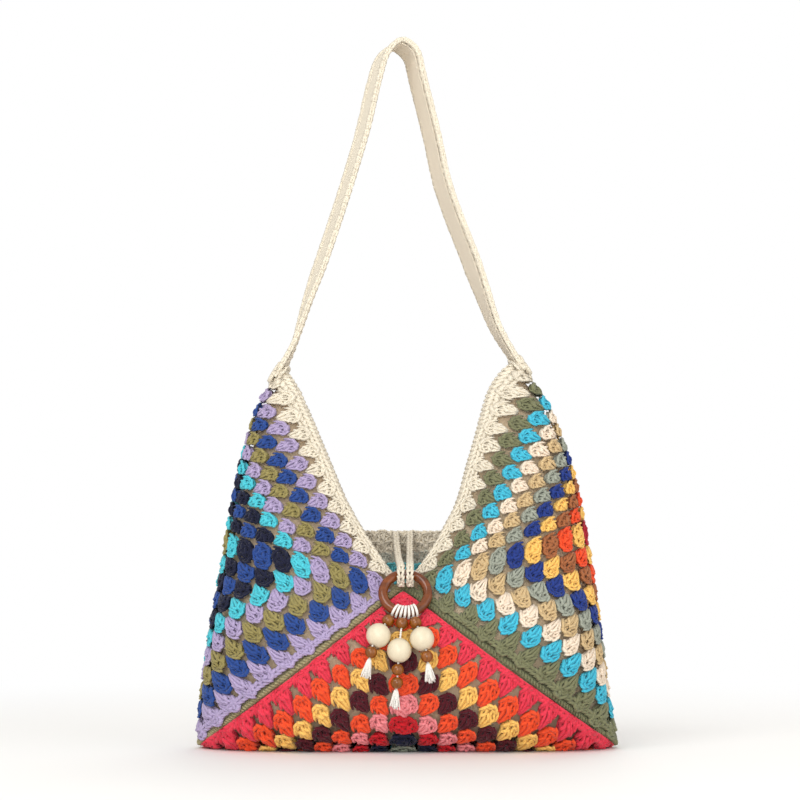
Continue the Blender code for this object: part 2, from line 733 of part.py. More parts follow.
def tube(name, points, diameter, colour, parts, sides=2):
    """A round cord through the given points, with closed ends."""
    curve = bpy.data.curves.new(name, "CURVE")
    curve.dimensions = "3D"
    curve.bevel_depth = diameter / 2
    curve.bevel_resolution = sides
    curve.use_fill_caps = True
    spline = curve.splines.new("POLY")
    spline.points.add(len(points) - 1)
    for slot, point in zip(spline.points, points):
        slot.co = (*point, 1)
    curve.materials.append(material(name, colour, YARN_ROUGHNESS))
    made = bpy.data.objects.new(name, curve)
    parts.objects.link(made)
    return made


def ring_up():
    return Vector((0, math.sin(RING_TILT), math.cos(RING_TILT)))


def ring_radius():
    return (RING_DIAMETER - RING_TUBE) / 2


def ring_foot():
    """The middle of the ring's tube at its lowest place, which is the line that the bead strings swing on."""
    return Vector((RING_X, -RING_FOOT_DEPTH, RING_FOOT_HEIGHT))


def ring_axis():
    """The line near the top of the ring on which it hangs in the two cord loops."""
    return ring_foot() + ring_up() * (2 * ring_radius() - RING_AXIS_DROP)


def hinge(name, place, parts, parent=None):
    made = bpy.data.objects.new(name, None)
    made.empty_display_size = BROWN_BEAD
    made.location = place - (parent.matrix_world.translation if parent else Vector())
    made.parent = parent
    parts.objects.link(made)
    bpy.context.view_layer.update()
    return made


def hang(made, parent):
    """Parents an object to a hinge without moving it."""
    bpy.context.view_layer.update()
    made.parent = parent
    made.matrix_parent_inverse = parent.matrix_world.inverted()


def closure_cord(side, name, parts):
    """A cord from the back edge over the mouth, looped round the top of the ring."""
    axis = ring_axis()
    reach = (LOOP_BORE + CORD_DIAMETER) / 2
    x = RING_X + side * LOOP_OFFSET
    root_x = MOUTH_FOOT_X + side * CORD_ROOT_SPACING / 2
    height = BACK_EDGE_HEIGHT - CORD_DIAMETER / 2
    root = lift((root_x, wall_y(section(height), root_x, False), height), WALL + EDGING_CLEARANCE)
    loop = []
    for i in range(LOOP_STEPS + 1):
        angle = LOOP_START + LOOP_TURN * i / LOOP_STEPS
        loop.append(Vector((x, axis.y + reach * math.cos(angle), axis.z + reach * math.sin(angle))))
    middle = root.lerp(loop[0], 0.5) - Vector((0, 0, CORD_SAG))
    lead = smooth_line([root, middle, loop[0]], CORD_LEAD_POINTS)
    return tube(name, lead[:-1] + loop, CORD_DIAMETER, CREAM, parts)


def wooden_ring(parts):
    centre = ring_foot() + ring_up() * ring_radius()
    bpy.ops.mesh.primitive_torus_add(
        major_radius=ring_radius(), minor_radius=RING_TUBE / 2, major_segments=RING_SEGMENTS[0],
        minor_segments=RING_SEGMENTS[1], location=centre, rotation=(math.radians(90) - RING_TILT, 0, 0),
    )
    made = bpy.context.object
    made.name = "wooden_ring"
    for owner in made.users_collection:
        owner.objects.unlink(made)
    parts.objects.link(made)
    made.data.materials.append(material("wooden_ring", RING_BROWN, VARNISH_ROUGHNESS))
    made.data.shade_smooth()
    return made


def ring_wrap(parts):
    """Seven turns of thick cotton as one ridged sleeve on the foot of the ring."""
    centre = ring_foot() + ring_up() * ring_radius()
    normal = Vector((1, 0, 0)).cross(ring_up())
    bore = RING_TUBE / 2 + WRAP_CLEARANCE

    def ring(angle, radius):
        out = Vector((1, 0, 0)) * math.sin(angle) - ring_up() * math.cos(angle)
        middle = centre + out * ring_radius()
        sides = RING_SEGMENTS[1]
        turns = [2 * math.pi * k / sides for k in range(sides)]
        return [middle + (out * math.cos(t) + normal * math.sin(t)) * radius for t in turns]

    steps = 2 * WRAP_TURNS
    angles = [WRAP_HALF_ANGLE * (2 * i / steps - 1) for i in range(steps + 1)]
    ridges = (WRAP_GROOVE, 1)
    outer = [ring(angle, bore + WRAP_THICKNESS * ridges[i % 2]) for i, angle in enumerate(angles)]
    inner = [ring(angle, bore) for angle in angles[::2]]
    white = material("ring_wrap", COTTON_WHITE, YARN_ROUGHNESS)
    return loft("ring_wrap", outer + inner[::-1], [white], parts, looped=True)


def bead(name, centre, along, diameter, colour, steps, parts):
    """A turned ball with a bore along its string."""
    radius, bore = diameter / 2, BEAD_BORE / 2
    tilt = math.acos(bore / radius)
    arcs = steps // 2
    mesh = bpy.data.meshes.new(name)
    bm = bmesh.new()
    angles = [tilt - 2 * tilt * i / arcs for i in range(arcs + 1)]
    profile = [bm.verts.new((radius * math.cos(a), 0, radius * math.sin(a))) for a in angles]
    for a, b in zip(profile, profile[1:] + profile[:1]):
        bm.edges.new((a, b))
    bm.to_mesh(mesh)
    bm.free()
    made = bpy.data.objects.new(name, mesh)
    parts.objects.link(made)
    turn = made.modifiers.new("turned", "SCREW")
    turn.steps = turn.render_steps = steps
    turn.use_merge_vertices = True
    turn.merge_threshold = 0.01 * MM
    made.location = centre
    made.rotation_mode = "QUATERNION"
    made.rotation_quaternion = (-along).to_track_quat("Z", "Y")
    mesh.materials.append(material(name, colour, VARNISH_ROUGHNESS))
    return made


def hung_point(x, reach, lean):
    """A point on a bead string: its reach from the swing line, and its lean out from straight down."""
    foot = ring_foot()
    angle = math.radians(lean)
    return Vector((RING_X + x, foot.y - reach * math.sin(angle), foot.z - reach * math.cos(angle)))


def hanging_direction(sideways, outward):
    """Downwards, leaning to the right and out from the bag by so many degrees."""
    s, f = math.radians(sideways), math.radians(outward)
    return Vector((math.sin(s), -math.cos(s) * math.sin(f), -math.cos(s) * math.cos(f)))


def tassel(name, top, along, parts):
    """A frayed string end: a bundle of threads that opens downwards."""
    side = along.cross(Vector((0, 1, 0))).normalized()
    other = along.cross(side)
    rings = []
    neck = STRING_DIAMETER * TASSEL_NECK
    for i in range(TASSEL_STEPS + 1):
        share = i / TASSEL_STEPS
        wide = neck + (TASSEL_WIDTH / 2 - neck) * share ** TASSEL_FLARE
        ring = []
        for k in range(2 * TASSEL_FOLDS):
            angle = math.pi * k / TASSEL_FOLDS
            radius = wide * (1 if k % 2 else TASSEL_FOLD_DEPTH)
            ring.append(
                top + along * TASSEL_LENGTH * share
                + (side * math.cos(angle) + other * math.sin(angle)) * radius
            )
        rings.append(ring)
    return loft(name, rings, [material(name, COTTON_WHITE, YARN_ROUGHNESS)], parts)


def bead_string(name, start, beads, swing, parts):
    """A string from the wrap through its beads, with a frayed end, all carried by one hinge."""
    half = BROWN_BEAD / 2 + GAP
    direction = hanging_direction(*beads[0][2])
    knot = hung_point(*start) - direction * half
    route = [knot]
    for label, kind, leans, spare in beads:
        diameter, colour, steps = BEAD_KINDS[kind]
        half = diameter / 2 + GAP
        direction = hanging_direction(*leans)
        if spare:
            knot = knot + (direction + previous).normalized() * spare
            route.append(knot)
        centre = knot + direction * half
        hang(bead(label, centre, direction, diameter, colour, steps, parts), swing)
        knot = centre + direction * half
        route += [centre, knot]
        previous = direction
    end = route[-1] + direction * GAP
    hang(tube(f"dangle_cord_{name}", route + [end], STRING_DIAMETER, COTTON_WHITE, parts), swing)
    hang(tassel(f"tassel_{name}", end + direction * GAP, direction, parts), swing)


def closure(parts):
    closure_cord(-1, "closure_cord_left", parts)
    closure_cord(1, "closure_cord_right", parts)
    ring_hinge = hinge("ring_hinge", ring_axis(), parts)
    hang(wooden_ring(parts), ring_hinge)
    hang(ring_wrap(parts), ring_hinge)
    for name, (start, beads) in STRINGS.items():
        swing = hinge(f"dangle_{name}_hinge", ring_foot(), parts, ring_hinge)
        bead_string(name, start, beads, swing, parts)


def main():
    clear_scene()
    parts = collection("crochet_shoulder_bag")
    granny_square("left_square", side_surface(-1), LEFT_ROUNDS, parts)
    granny_square("right_square", side_surface(1), RIGHT_ROUNDS, parts)
    granny_square("bottom_square", base_surface, BOTTOM_ROUNDS, parts)
    seam(-1, "seam_left", KHAKI, parts)
    seam(1, "seam_right", SAGE, parts)
    mouth_edging(parts)
    back_insert(parts)
    bag_lining(parts)
    strap(parts)
    closure(parts)


main()
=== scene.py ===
"""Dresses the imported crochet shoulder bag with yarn, cloth, wood and cotton string."""

import math

import bpy
import numpy as np
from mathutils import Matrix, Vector


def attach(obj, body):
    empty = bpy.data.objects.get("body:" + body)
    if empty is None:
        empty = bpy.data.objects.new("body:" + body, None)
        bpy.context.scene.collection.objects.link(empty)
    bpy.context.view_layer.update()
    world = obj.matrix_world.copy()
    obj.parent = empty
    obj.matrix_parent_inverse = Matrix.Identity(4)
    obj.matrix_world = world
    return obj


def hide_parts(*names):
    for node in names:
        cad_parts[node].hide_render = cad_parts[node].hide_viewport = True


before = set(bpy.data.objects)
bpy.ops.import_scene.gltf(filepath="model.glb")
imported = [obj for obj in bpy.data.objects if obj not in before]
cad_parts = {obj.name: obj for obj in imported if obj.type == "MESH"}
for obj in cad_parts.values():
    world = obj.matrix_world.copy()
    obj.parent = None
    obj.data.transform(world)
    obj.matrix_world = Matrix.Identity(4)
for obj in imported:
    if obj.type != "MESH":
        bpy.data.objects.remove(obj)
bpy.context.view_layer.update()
CHANCE = np.random.default_rng(11)
MM = 0.001

# Body of the bag
BASE_WIDTH = 356 * MM
BODY_HEIGHT = 330 * MM
FRONT_BELLY = 80 * MM
BACK_BELLY = 58 * MM
END_ROUNDING = 120 * MM
SOLE_BLEND = 80 * MM
LEFT_PEAK = 0.9833 * BODY_HEIGHT
RIGHT_PEAK = 1.0015 * BODY_HEIGHT
LEFT_CENTRE = 0.5412 * BODY_HEIGHT
RIGHT_CENTRE = 0.5597 * BODY_HEIGHT
MOUTH_FOOT = 0.4182 * BODY_HEIGHT
MOUTH_FOOT_X = -4 * MM
BACK_EDGE_HEIGHT = 0.5621 * BODY_HEIGHT
CORNER_HEIGHT = 4 * MM

# Crochet
SQUARE_SIDE = 250 * MM
ROUNDS = 11
WALL = 2.5 * MM
KNOB = 2.8 * MM
LEFT_FOLD_SHIFT = 14 * MM
RIGHT_FOLD_SHIFT = -6 * MM
EDGING_WIDTH = 11 * MM
EDGING_CLEARANCE = 1 * MM
SEAM_WIDTH = 5.8 * MM
SEAM_START = 0.004
GAP = 0.3 * MM
LINING_THICKNESS = 1 * MM

# Strap
STRAP_TOP = BODY_HEIGHT + 282.5 * MM
STRAP_TOP_X = -9 * MM
STRAP_WIDTH = 36 * MM
STRAP_THICKNESS = 4 * MM
STRAP_LINING_WIDTH = 33 * MM
STRAP_LAP = 7 * MM
STRAP_YAW = math.radians(18)
STRAP_TWIST_SHARE = 0.3
STRAP_TUCK = 4.5 * MM
STRAP_TUCK_RISE = 0.07

# Closure
RING_DIAMETER = 45 * MM
RING_TUBE = 8 * MM
RING_X = -2 * MM
RING_STAND_OFF = 0.2 * MM
RING_FOOT_DEPTH = FRONT_BELLY + RING_STAND_OFF
RING_FOOT_HEIGHT = 0.3509 * BODY_HEIGHT
RING_TILT = math.radians(32)
RING_AXIS_DROP = 0.4 * MM
CORD_DIAMETER = 4 * MM
LOOP_OFFSET = 3.75 * MM
LOOP_BORE = 9.8 * MM
CORD_ROOT_SPACING = 13 * MM
CORD_SAG = 7 * MM
CORD_LEAD_POINTS = 9
LOOP_START = math.radians(108)
LOOP_TURN = math.radians(288)
LOOP_STEPS = 12
WRAP_TURNS = 7
WRAP_HALF_ANGLE = math.radians(33)
CREAM_BEAD = 20 * MM
BROWN_BEAD = 10 * MM
BEAD_BORE = 2.9 * MM
STRING_SHOWING = 7 * MM
TASSEL_LENGTH = 16 * MM

# Outlines, as (share of body height, share of the greatest size)
LEFT_OUTLINE = (
    (0, 1.0), (0.15, 0.975), (0.28, 0.941), (0.41, 0.902), (0.53, 0.864), (0.65, 0.83), (0.767, 0.781),
    (0.885, 0.713), (0.942, 0.654), (1.0, 0.585),
)
RIGHT_OUTLINE = (
    (0, 1.0), (0.15, 0.947), (0.28, 0.916), (0.41, 0.888), (0.53, 0.854), (0.636, 0.82), (0.727, 0.781),
    (0.806, 0.733), (0.885, 0.674), (0.948, 0.601), (1.006, 0.517),
)
FRONT_DEPTH = (
    (0, 0.5), (0.06, 0.78), (0.136, 0.93), (0.242, 1.0), (0.324, 0.955), (0.37, 0.84), (0.418, 0.67),
    (0.48, 0.59), (0.667, 0.44), (0.818, 0.33), (0.942, 0.23), (1.01, 0.19),
)
BACK_DEPTH = (
    (0, 0.69), (0.06, 0.897), (0.136, 0.983), (0.242, 1.0), (0.418, 0.862), (0.53, 0.724), (0.667, 0.6),
    (0.818, 0.46), (0.942, 0.317), (1.01, 0.262),
)
# Free edge of the mouth, as (share of the rise from foot to peak, share of the way across)
LEFT_MOUTH = ((0, 0), (0.134, 0.187), (0.268, 0.345), (0.407, 0.486), (0.592, 0.627), (0.777, 0.771),
              (0.928, 0.9), (1, 1))
RIGHT_MOUTH = ((0, 0), (0.13, 0.21), (0.26, 0.364), (0.3725, 0.479), (0.529, 0.567), (0.7086, 0.674),
               (0.8655, 0.762), (0.956, 0.882), (1, 1))
# Middle of the strap above each peak, as (share of the rise to the top, share of the way to the top's place)
LEFT_LIMB = ((0.1, 0.14), (0.36, 0.4), (0.7, 0.69), (0.9, 0.82), (0.968, 0.885))
RIGHT_LIMB = ((0.13, 0.22), (0.34, 0.43), (0.54, 0.62), (0.71, 0.72), (0.9, 0.84), (0.968, 0.888))
END_ROUNDING_REACH = 1.15
END_ROUNDING_POWER = 1.1
SECTION_POWER = 2.2
ROW_SAG = 1.2
WALK_STEPS = 28
CORNER_DIP = 0.05
FRONT_DIP = 0.008


def clamped(share):
    return min(max(share, 0.0), 1.0)


def smooth(stations, place):
    """The value at a place on the smooth curve through (place, value) stations."""
    last = len(stations) - 1
    if place <= stations[0][0]:
        return stations[0][1]
    if place >= stations[last][0]:
        return stations[last][1]
    i = max(k for k in range(last) if stations[k][0] <= place)

    def slope(k):
        before, after = stations[max(k - 1, 0)], stations[min(k + 1, last)]
        return (after[1] - before[1]) / (after[0] - before[0])

    span = stations[i + 1][0] - stations[i][0]
    t = (place - stations[i][0]) / span
    start = stations[i][1] * (1 + 2 * t) * (1 - t) ** 2 + slope(i) * span * t * (1 - t) ** 2
    end = stations[i + 1][1] * t * t * (3 - 2 * t) + slope(i + 1) * span * t * t * (t - 1)
    return start + end


def smooth_line(points, count):
    """Evenly spaced points on a smooth curve through the given points."""
    places = [0.0]
    for a, b in zip(points, points[1:]):
        places.append(places[-1] + (Vector(b) - Vector(a)).length)
    axes = [tuple(zip(places, [point[k] for point in points])) for k in range(3)]
    fine = [places[-1] * i / (8 * count) for i in range(8 * count + 1)]
    curve = [Vector([smooth(axis, place) for axis in axes]) for place in fine]
    return respaced(curve, count)


def respaced(line, count):
    """As many points as asked for, equally far apart along a line of many points."""
    run = [0.0]
    for a, b in zip(line, line[1:]):
        run.append(run[-1] + (b - a).length)
    out = []
    i = 0
    for k in range(count):
        target = run[-1] * k / (count - 1)
        while i < len(run) - 2 and run[i + 1] < target:
            i += 1
        share = (target - run[i]) / (run[i + 1] - run[i])
        out.append(line[i].lerp(line[i + 1], min(share, 1.0)))
    return out


def section(height):
    """(left, right, front depth, back depth, length of the rounded ends) of the bag's outline at a height."""
    share = height / BODY_HEIGHT
    left = -BASE_WIDTH / 2 * smooth(LEFT_OUTLINE, share)
    right = BASE_WIDTH / 2 * smooth(RIGHT_OUTLINE, share)
    front = FRONT_BELLY * smooth(FRONT_DEPTH, share)
    back = BACK_BELLY * smooth(BACK_DEPTH, share)
    rounding = END_ROUNDING * (1 - share / END_ROUNDING_REACH) ** END_ROUNDING_POWER
    return left, right, front, back, rounding


def wall_y(outline, x, forward):
    """Where the front or back wall stands at x, in an outline that section() gave."""
    left, right, front, back, rounding = outline
    inward = max(0.0, min(x - left, right - x))
    share = min(inward / rounding, 1.0)
    deep = (1 - (1 - share) ** SECTION_POWER) ** (1 / SECTION_POWER)
    return -front * deep if forward else back * deep


def lift(point, depth):
    """A point of the bag's skin moved into the bag by a depth, or out of it where the depth is negative."""
    x, y, z = point
    left, right, front, back, _ = section(z)
    middle, half = (left + right) / 2, (right - left) / 2
    deep = front if y < 0 else back
    sole = max(0.0, 1 - z / SOLE_BLEND)
    return Vector((
        middle + (x - middle) * (half - depth) / half,
        y * (deep - depth) / deep,
        max(0.0, z + depth * sole),
    ))


def fold_x(side, height):
    """Where the fold at a side of the bag stands at a height."""
    return section(height)[0 if side < 0 else 1]


def mouth_x(side, height):
    """Where the mouth's free edge stands at a height, on the front and on the back alike."""
    peak = LEFT_PEAK if side < 0 else RIGHT_PEAK
    fold = fold_x(side, peak)
    share = (height - MOUTH_FOOT) / (peak - MOUTH_FOOT)
    return MOUTH_FOOT_X + (fold - MOUTH_FOOT_X) * smooth(LEFT_MOUTH if side < 0 else RIGHT_MOUTH, share)


def seam_at(side, share):
    """Where a seam stands at a share of its way across, from the foot of the mouth to the base corner."""
    return MOUTH_FOOT_X + (fold_x(side, CORNER_HEIGHT) - MOUTH_FOOT_X) * share


def seam_height(x):
    """Height of the seam's middle line at x."""
    side = -1 if x < MOUTH_FOOT_X else 1
    share = (x - MOUTH_FOOT_X) / (fold_x(side, CORNER_HEIGHT) - MOUTH_FOOT_X)
    return MOUTH_FOOT + (CORNER_HEIGHT - MOUTH_FOOT) * share


def seam_x(side, height):
    return seam_at(side, (height - MOUTH_FOOT) / (CORNER_HEIGHT - MOUTH_FOOT))


def walk_table(side, height, forward, reach):
    """(distance in from the side fold, arc length) along one wall at a height."""
    outline = section(height)
    fold = outline[0 if side < 0 else 1]
    table = [(0.0, 0.0)]
    last = Vector((0, 0))
    for i in range(1, WALK_STEPS + 1):
        inward = reach * (i / WALK_STEPS) ** 2
        here = Vector((inward, wall_y(outline, fold - side * inward, forward)))
        table.append((inward, table[-1][1] + (here - last).length))
        last = here
    return table


def walk(side, height, length):
    """The skin's point at an arc length from the side fold, forwards where the length is positive."""
    outline = section(height)
    fold = outline[0 if side < 0 else 1]
    table = walk_table(side, height, length >= 0, 0.56 * (outline[1] - outline[0]))
    target = min(abs(length), table[-1][1])
    i = max(k for k in range(len(table) - 1) if table[k][1] <= target)
    share = (target - table[i][1]) / (table[i + 1][1] - table[i][1])
    x = fold - side * (table[i][0] + (table[i + 1][0] - table[i][0]) * share)
    return Vector((x, wall_y(outline, x, length >= 0), height))


def wall_point(x, height, forward):
    return Vector((x, wall_y(section(height), x, forward), height))


def side_place(side, ahead, up):
    """The skin's point on a folded side square: ahead and up run from -1 to 1 along its diagonals."""
    peak, centre, shift = (
        (LEFT_PEAK, LEFT_CENTRE, LEFT_FOLD_SHIFT)
        if side < 0
        else (RIGHT_PEAK, RIGHT_CENTRE, RIGHT_FOLD_SHIFT)
    )
    end = peak if up > 0 else CORNER_HEIGHT
    fold_height = centre + (end - centre) * abs(up)
    edge_height = MOUTH_FOOT + (end - MOUTH_FOOT) * abs(up)
    room = max(1 - abs(up), 1e-6)
    share = min(abs(ahead) / room, 1.0)
    height = fold_height + (edge_height - fold_height) * share ** ROW_SAG
    edge_x = mouth_x(side, edge_height) if up > 0 else seam_x(side, edge_height)
    inward = abs(edge_x - fold_x(side, edge_height))
    full = walk_table(side, edge_height, ahead >= 0, max(inward, 1e-6))[-1][1]
    start = -shift * room
    if ahead >= 0:
        return walk(side, height, start + share * (full - start))
    return walk(side, height, start - share * (full + start))


def base_place(across, ahead):
    """The skin's point on the bottom square: across runs right and ahead runs forwards, from -1 to 1."""
    side = -1 if across < 0 else 1
    x = seam_at(side, abs(across))
    room = max(1 - abs(across), 1e-6)
    share = min(abs(ahead) / room, 1.0)
    top = seam_height(x)
    column = [Vector((x, 0, 0))]
    for i in range(WALK_STEPS):
        column.append(wall_point(x, top * i / (WALK_STEPS - 1), ahead >= 0))
    lengths = [0.0]
    for a, b in zip(column, column[1:]):
        lengths.append(lengths[-1] + (b - a).length)
    target = share * lengths[-1]
    i = max(k for k in range(len(lengths) - 1) if lengths[k] <= target)
    step = max(lengths[i + 1] - lengths[i], 1e-9)
    return column[i].lerp(column[i + 1], (target - lengths[i]) / step)


def edge_share():
    """How far out a side square reaches towards the mouth, with the edging beyond it."""
    return 1 - (EDGING_WIDTH + EDGING_CLEARANCE) / (SQUARE_SIDE / 2)


def seam_share():
    """How far out a square reaches towards a seam, with half the ridge and its narrowing beyond it."""
    return 1 - SEAM_WIDTH / SQUARE_SIDE


def seam_line(side):
    """The seam's middle line on the skin, from the front foot of the mouth round the corner to the back."""
    fine = 120
    line = []
    for forward in (True, False):
        half = []
        for i in range(fine + 1):
            share = 1 - (1 - SEAM_START) * (1 - i / fine) ** 2
            x = seam_at(side, share)
            half.append(wall_point(x, seam_height(x), forward))
        line += half if forward else half[::-1][1:]
    return line


def strap_line():
    """The strap's middle line, from its left end over the top to its right end."""
    clear = KNOB + LINING_THICKNESS + 2 * GAP + STRAP_THICKNESS / 2
    ends = []
    for side, peak, limb in ((-1, LEFT_PEAK, LEFT_LIMB), (1, RIGHT_PEAK, RIGHT_LIMB)):
        points = []
        for drop in (STRAP_LAP, 0):
            points.append(Vector((fold_x(side, peak - drop) + side * clear, 0, peak - drop)))
        start = points[-1]
        for rise, across in limb:
            x = start.x + (STRAP_TOP_X - start.x) * across
            points.append(Vector((x, 0, start.z + (STRAP_TOP - start.z) * rise)))
        ends.append(points)
    return ends[0] + [Vector((STRAP_TOP_X, 0, STRAP_TOP))] + ends[1][::-1]


def ring_up():
    return Vector((0, math.sin(RING_TILT), math.cos(RING_TILT)))


def ring_radius():
    return (RING_DIAMETER - RING_TUBE) / 2


def ring_foot():
    """The middle of the ring's tube at its lowest place, which is the line that the bead strings swing on."""
    return Vector((RING_X, -RING_FOOT_DEPTH, RING_FOOT_HEIGHT))


def ring_axis():
    """The line near the top of the ring on which it hangs in the two cord loops."""
    return ring_foot() + ring_up() * (2 * ring_radius() - RING_AXIS_DROP)


def hung_point(x, reach, lean):
    """A point on a bead string: its reach from the swing line, and its lean out from straight down."""
    foot = ring_foot()
    angle = math.radians(lean)
    return Vector((RING_X + x, foot.y - reach * math.sin(angle), foot.z - reach * math.cos(angle)))


def hanging_direction(sideways, outward):
    """Downwards, leaning to the right and out from the bag by so many degrees."""
    s, f = math.radians(sideways), math.radians(outward)
    return Vector((math.sin(s), -math.cos(s) * math.sin(f), -math.cos(s) * math.cos(f)))


# Camera, in metres from the origin and in millimetres of lens
CAMERA_DISTANCE = 1.7
CAMERA_ELEVATION = math.radians(-5)
CAMERA_TARGET = (-0.0065, 0, 0.2975)
CAMERA_LENS = 88.2
HALF = SQUARE_SIDE / 2
# The crochet is pressed in at the sole by this depth, fading out at this height
SOLE_INSET = 2.6 * MM
SOLE_FADE = 18 * MM

# Stitches in flat millimetres; cores are (inset, radius), on a seam (across, height, radius)
FAN_SCALE = (0.96, 0.98, 1.0)
DRAWN_FAN_SCALE = (1.06, 0.86, 1.0)
EDGING_FAN_SCALE = (1.12, 0.78, 0.9)
FAN_SLACK = 0.4
STRAND_SLACK = 0.2
STITCH_SLACK = 0.12
POST_RADIUS = 1.22
CAP_RADIUS = 1.16
STITCH_POINTS = 5
SKIN_POINTS = (64, 64)
EDGE_INSET = 1.5
BORDER_PITCH = 5.6
BORDER_CORES = ((0.2, 1.5), (2.6, 1.5), (5.0, 1.3))
SEAM_CORES = (
    (-1.5, -0.4, 1.2), (0, -0.4, 1.5), (1.5, -0.4, 1.2), (-2.7, -2.0, 1.6), (2.7, -2.0, 1.6), (0, -3.2, 2.2),
)
STRAP_PITCH = 6.2
LINING_STITCH = 6.5
FRAY_THREADS = 26
# Strands take their round from this direction, which no strand runs along
LEVEL = np.array((0.11, 0.07, 1.0))

# Yarn colours, and the yarns of each square from its first round to its last
COTTON = {
    "cream": (230, 220, 200), "lavender": (176, 160, 196), "royal": (38, 72, 142), "olive": (150, 138, 84),
    "cyan": (78, 198, 212), "navy": (17, 21, 48), "sage": (122, 123, 90), "sky": (68, 186, 212),
    "ivory": (240, 222, 200), "tan": (208, 180, 134), "grey": (158, 162, 148), "deep_blue": (32, 56, 132),
    "golden": (246, 196, 104), "brown": (165, 100, 60), "orange": (238, 80, 38), "crimson": (175, 20, 45),
    "coral": (226, 56, 78), "maroon": (80, 10, 26), "pink": (236, 138, 143), "red": (196, 20, 34),
    "grey_sage": (130, 135, 120), "teal": (40, 150, 165), "khaki": (160, 150, 112), "white": (245, 240, 232),
    # The last two are the back insert's grey and cyan painted lighter than the yarn itself: painted light for
    # the shaded inside of the back wall.
    "painted_lit_grey": (206, 206, 192), "painted_lit_cyan": (120, 226, 238),
}
LEFT_YARNS = (
    "olive", "olive", "cyan", "navy", "royal", "navy", "cyan", "lavender", "olive", "royal", "lavender",
)
RIGHT_YARNS = (
    "crimson", "golden", "orange", "brown", "golden", "deep_blue", "grey", "tan", "ivory", "sky", "sage",
)
BOTTOM_YARNS = (
    "teal", "teal", "grey_sage", "navy", "red", "pink", "orange", "maroon", "golden", "orange", "coral",
)


def linear(colour, gain=1.0):
    shares = [min(part / 255 * gain, 1.0) for part in colour]
    return [s / 12.92 if s <= 0.04045 else ((s + 0.055) / 1.055) ** 2.4 for s in shares] + [1]


def nodes_of(name):
    made = bpy.data.materials.new(name)
    made.use_nodes = True
    tree = made.node_tree
    return made, tree, tree.nodes["Principled BSDF"]


def joined(tree, node, values, **settings):
    """A node, new where its kind is given, with each input set to a value or linked to an output."""
    node = tree.nodes.new("ShaderNode" + node) if isinstance(node, str) else node
    for key, value in settings.items():
        setattr(node, key, value)
    for socket, value in dict(values).items():
        if isinstance(value, bpy.types.NodeSocket):
            tree.links.new(value, node.inputs[socket])
        else:
            node.inputs[socket].default_value = value
    return node


def maths(tree, operation, *values):
    return joined(tree, "Math", enumerate(values), operation=operation).outputs[0]


def weighted(tree, *parts):
    """The sum of values, each times its weight."""
    terms = [maths(tree, "MULTIPLY", value, weight) for value, weight in parts]
    total = terms[0]
    for term in terms[1:]:
        total = maths(tree, "ADD", total, term)
    return total


def own_place(tree):
    return tree.nodes.new("ShaderNodeTexCoord").outputs["Object"]


def noise(tree, scale, detail, stretch=(1, 1, 1)):
    mapping = joined(tree, "Mapping", {"Scale": stretch, "Vector": own_place(tree)})
    spots = {"Scale": scale, "Detail": detail, "Vector": mapping.outputs["Vector"]}
    return joined(tree, "TexNoise", spots).outputs["Fac"]


def blend_colours(tree, share, low, high):
    """Two colours mixed by a share; 0, 6 and 7 are the mix node's colour sockets and 2 its colour output."""
    return joined(tree, "Mix", {0: share, 6: low, 7: high}, data_type="RGBA").outputs[2]


def bump(tree, height, distance):
    values = {"Distance": distance, "Strength": 1.0, "Height": height}
    return joined(tree, "Bump", values).outputs["Normal"]


def yarn_material(name, colour, ply=2.3):
    """Plied cotton: slanting plies along each strand, fine fibres, a small change of tone by strand and
    painted shade in the grooves between plies.
    """
    made, tree, shader = nodes_of(f"yarn_{name}")
    along = joined(tree, "Attribute", {}, attribute_name="yarn").outputs["Vector"]
    parts = joined(tree, "SeparateXYZ", {"Vector": along}).outputs
    around = maths(tree, "ARCTAN2", parts["Z"], parts["Y"])
    plies = maths(tree, "SINE", weighted(tree, (parts["X"], 2 * math.pi / ply), (around, 2.0)))
    # groove runs low in the valleys between plies: it shapes the bump, and the base colour darkens towards
    # its low values as painted shade in those valleys.
    groove = maths(tree, "POWER", maths(tree, "MULTIPLY_ADD", plies, 0.5, 0.5), 0.6)
    fibres = noise(tree, 1900, 3.0)
    patches = noise(tree, 55, 2.0)
    island = tree.nodes.new("ShaderNodeNewGeometry").outputs["Random Per Island"]
    tone = weighted(tree, (island, 0.45), (patches, 0.3), (fibres, 0.25))
    base = blend_colours(tree, tone, linear(colour, 0.9), linear(colour, 1.05))
    height = weighted(tree, (groove, 0.8), (fibres, 0.35))
    joined(tree, shader, {
        "Base Color": blend_colours(tree, groove, linear(colour, 0.94), base),
        "Roughness": 0.82, "Specular IOR Level": 0.25, "Sheen Weight": 0.12, "Sheen Roughness": 0.5,
        "Normal": bump(tree, height, 0.0002),
    })
    return made


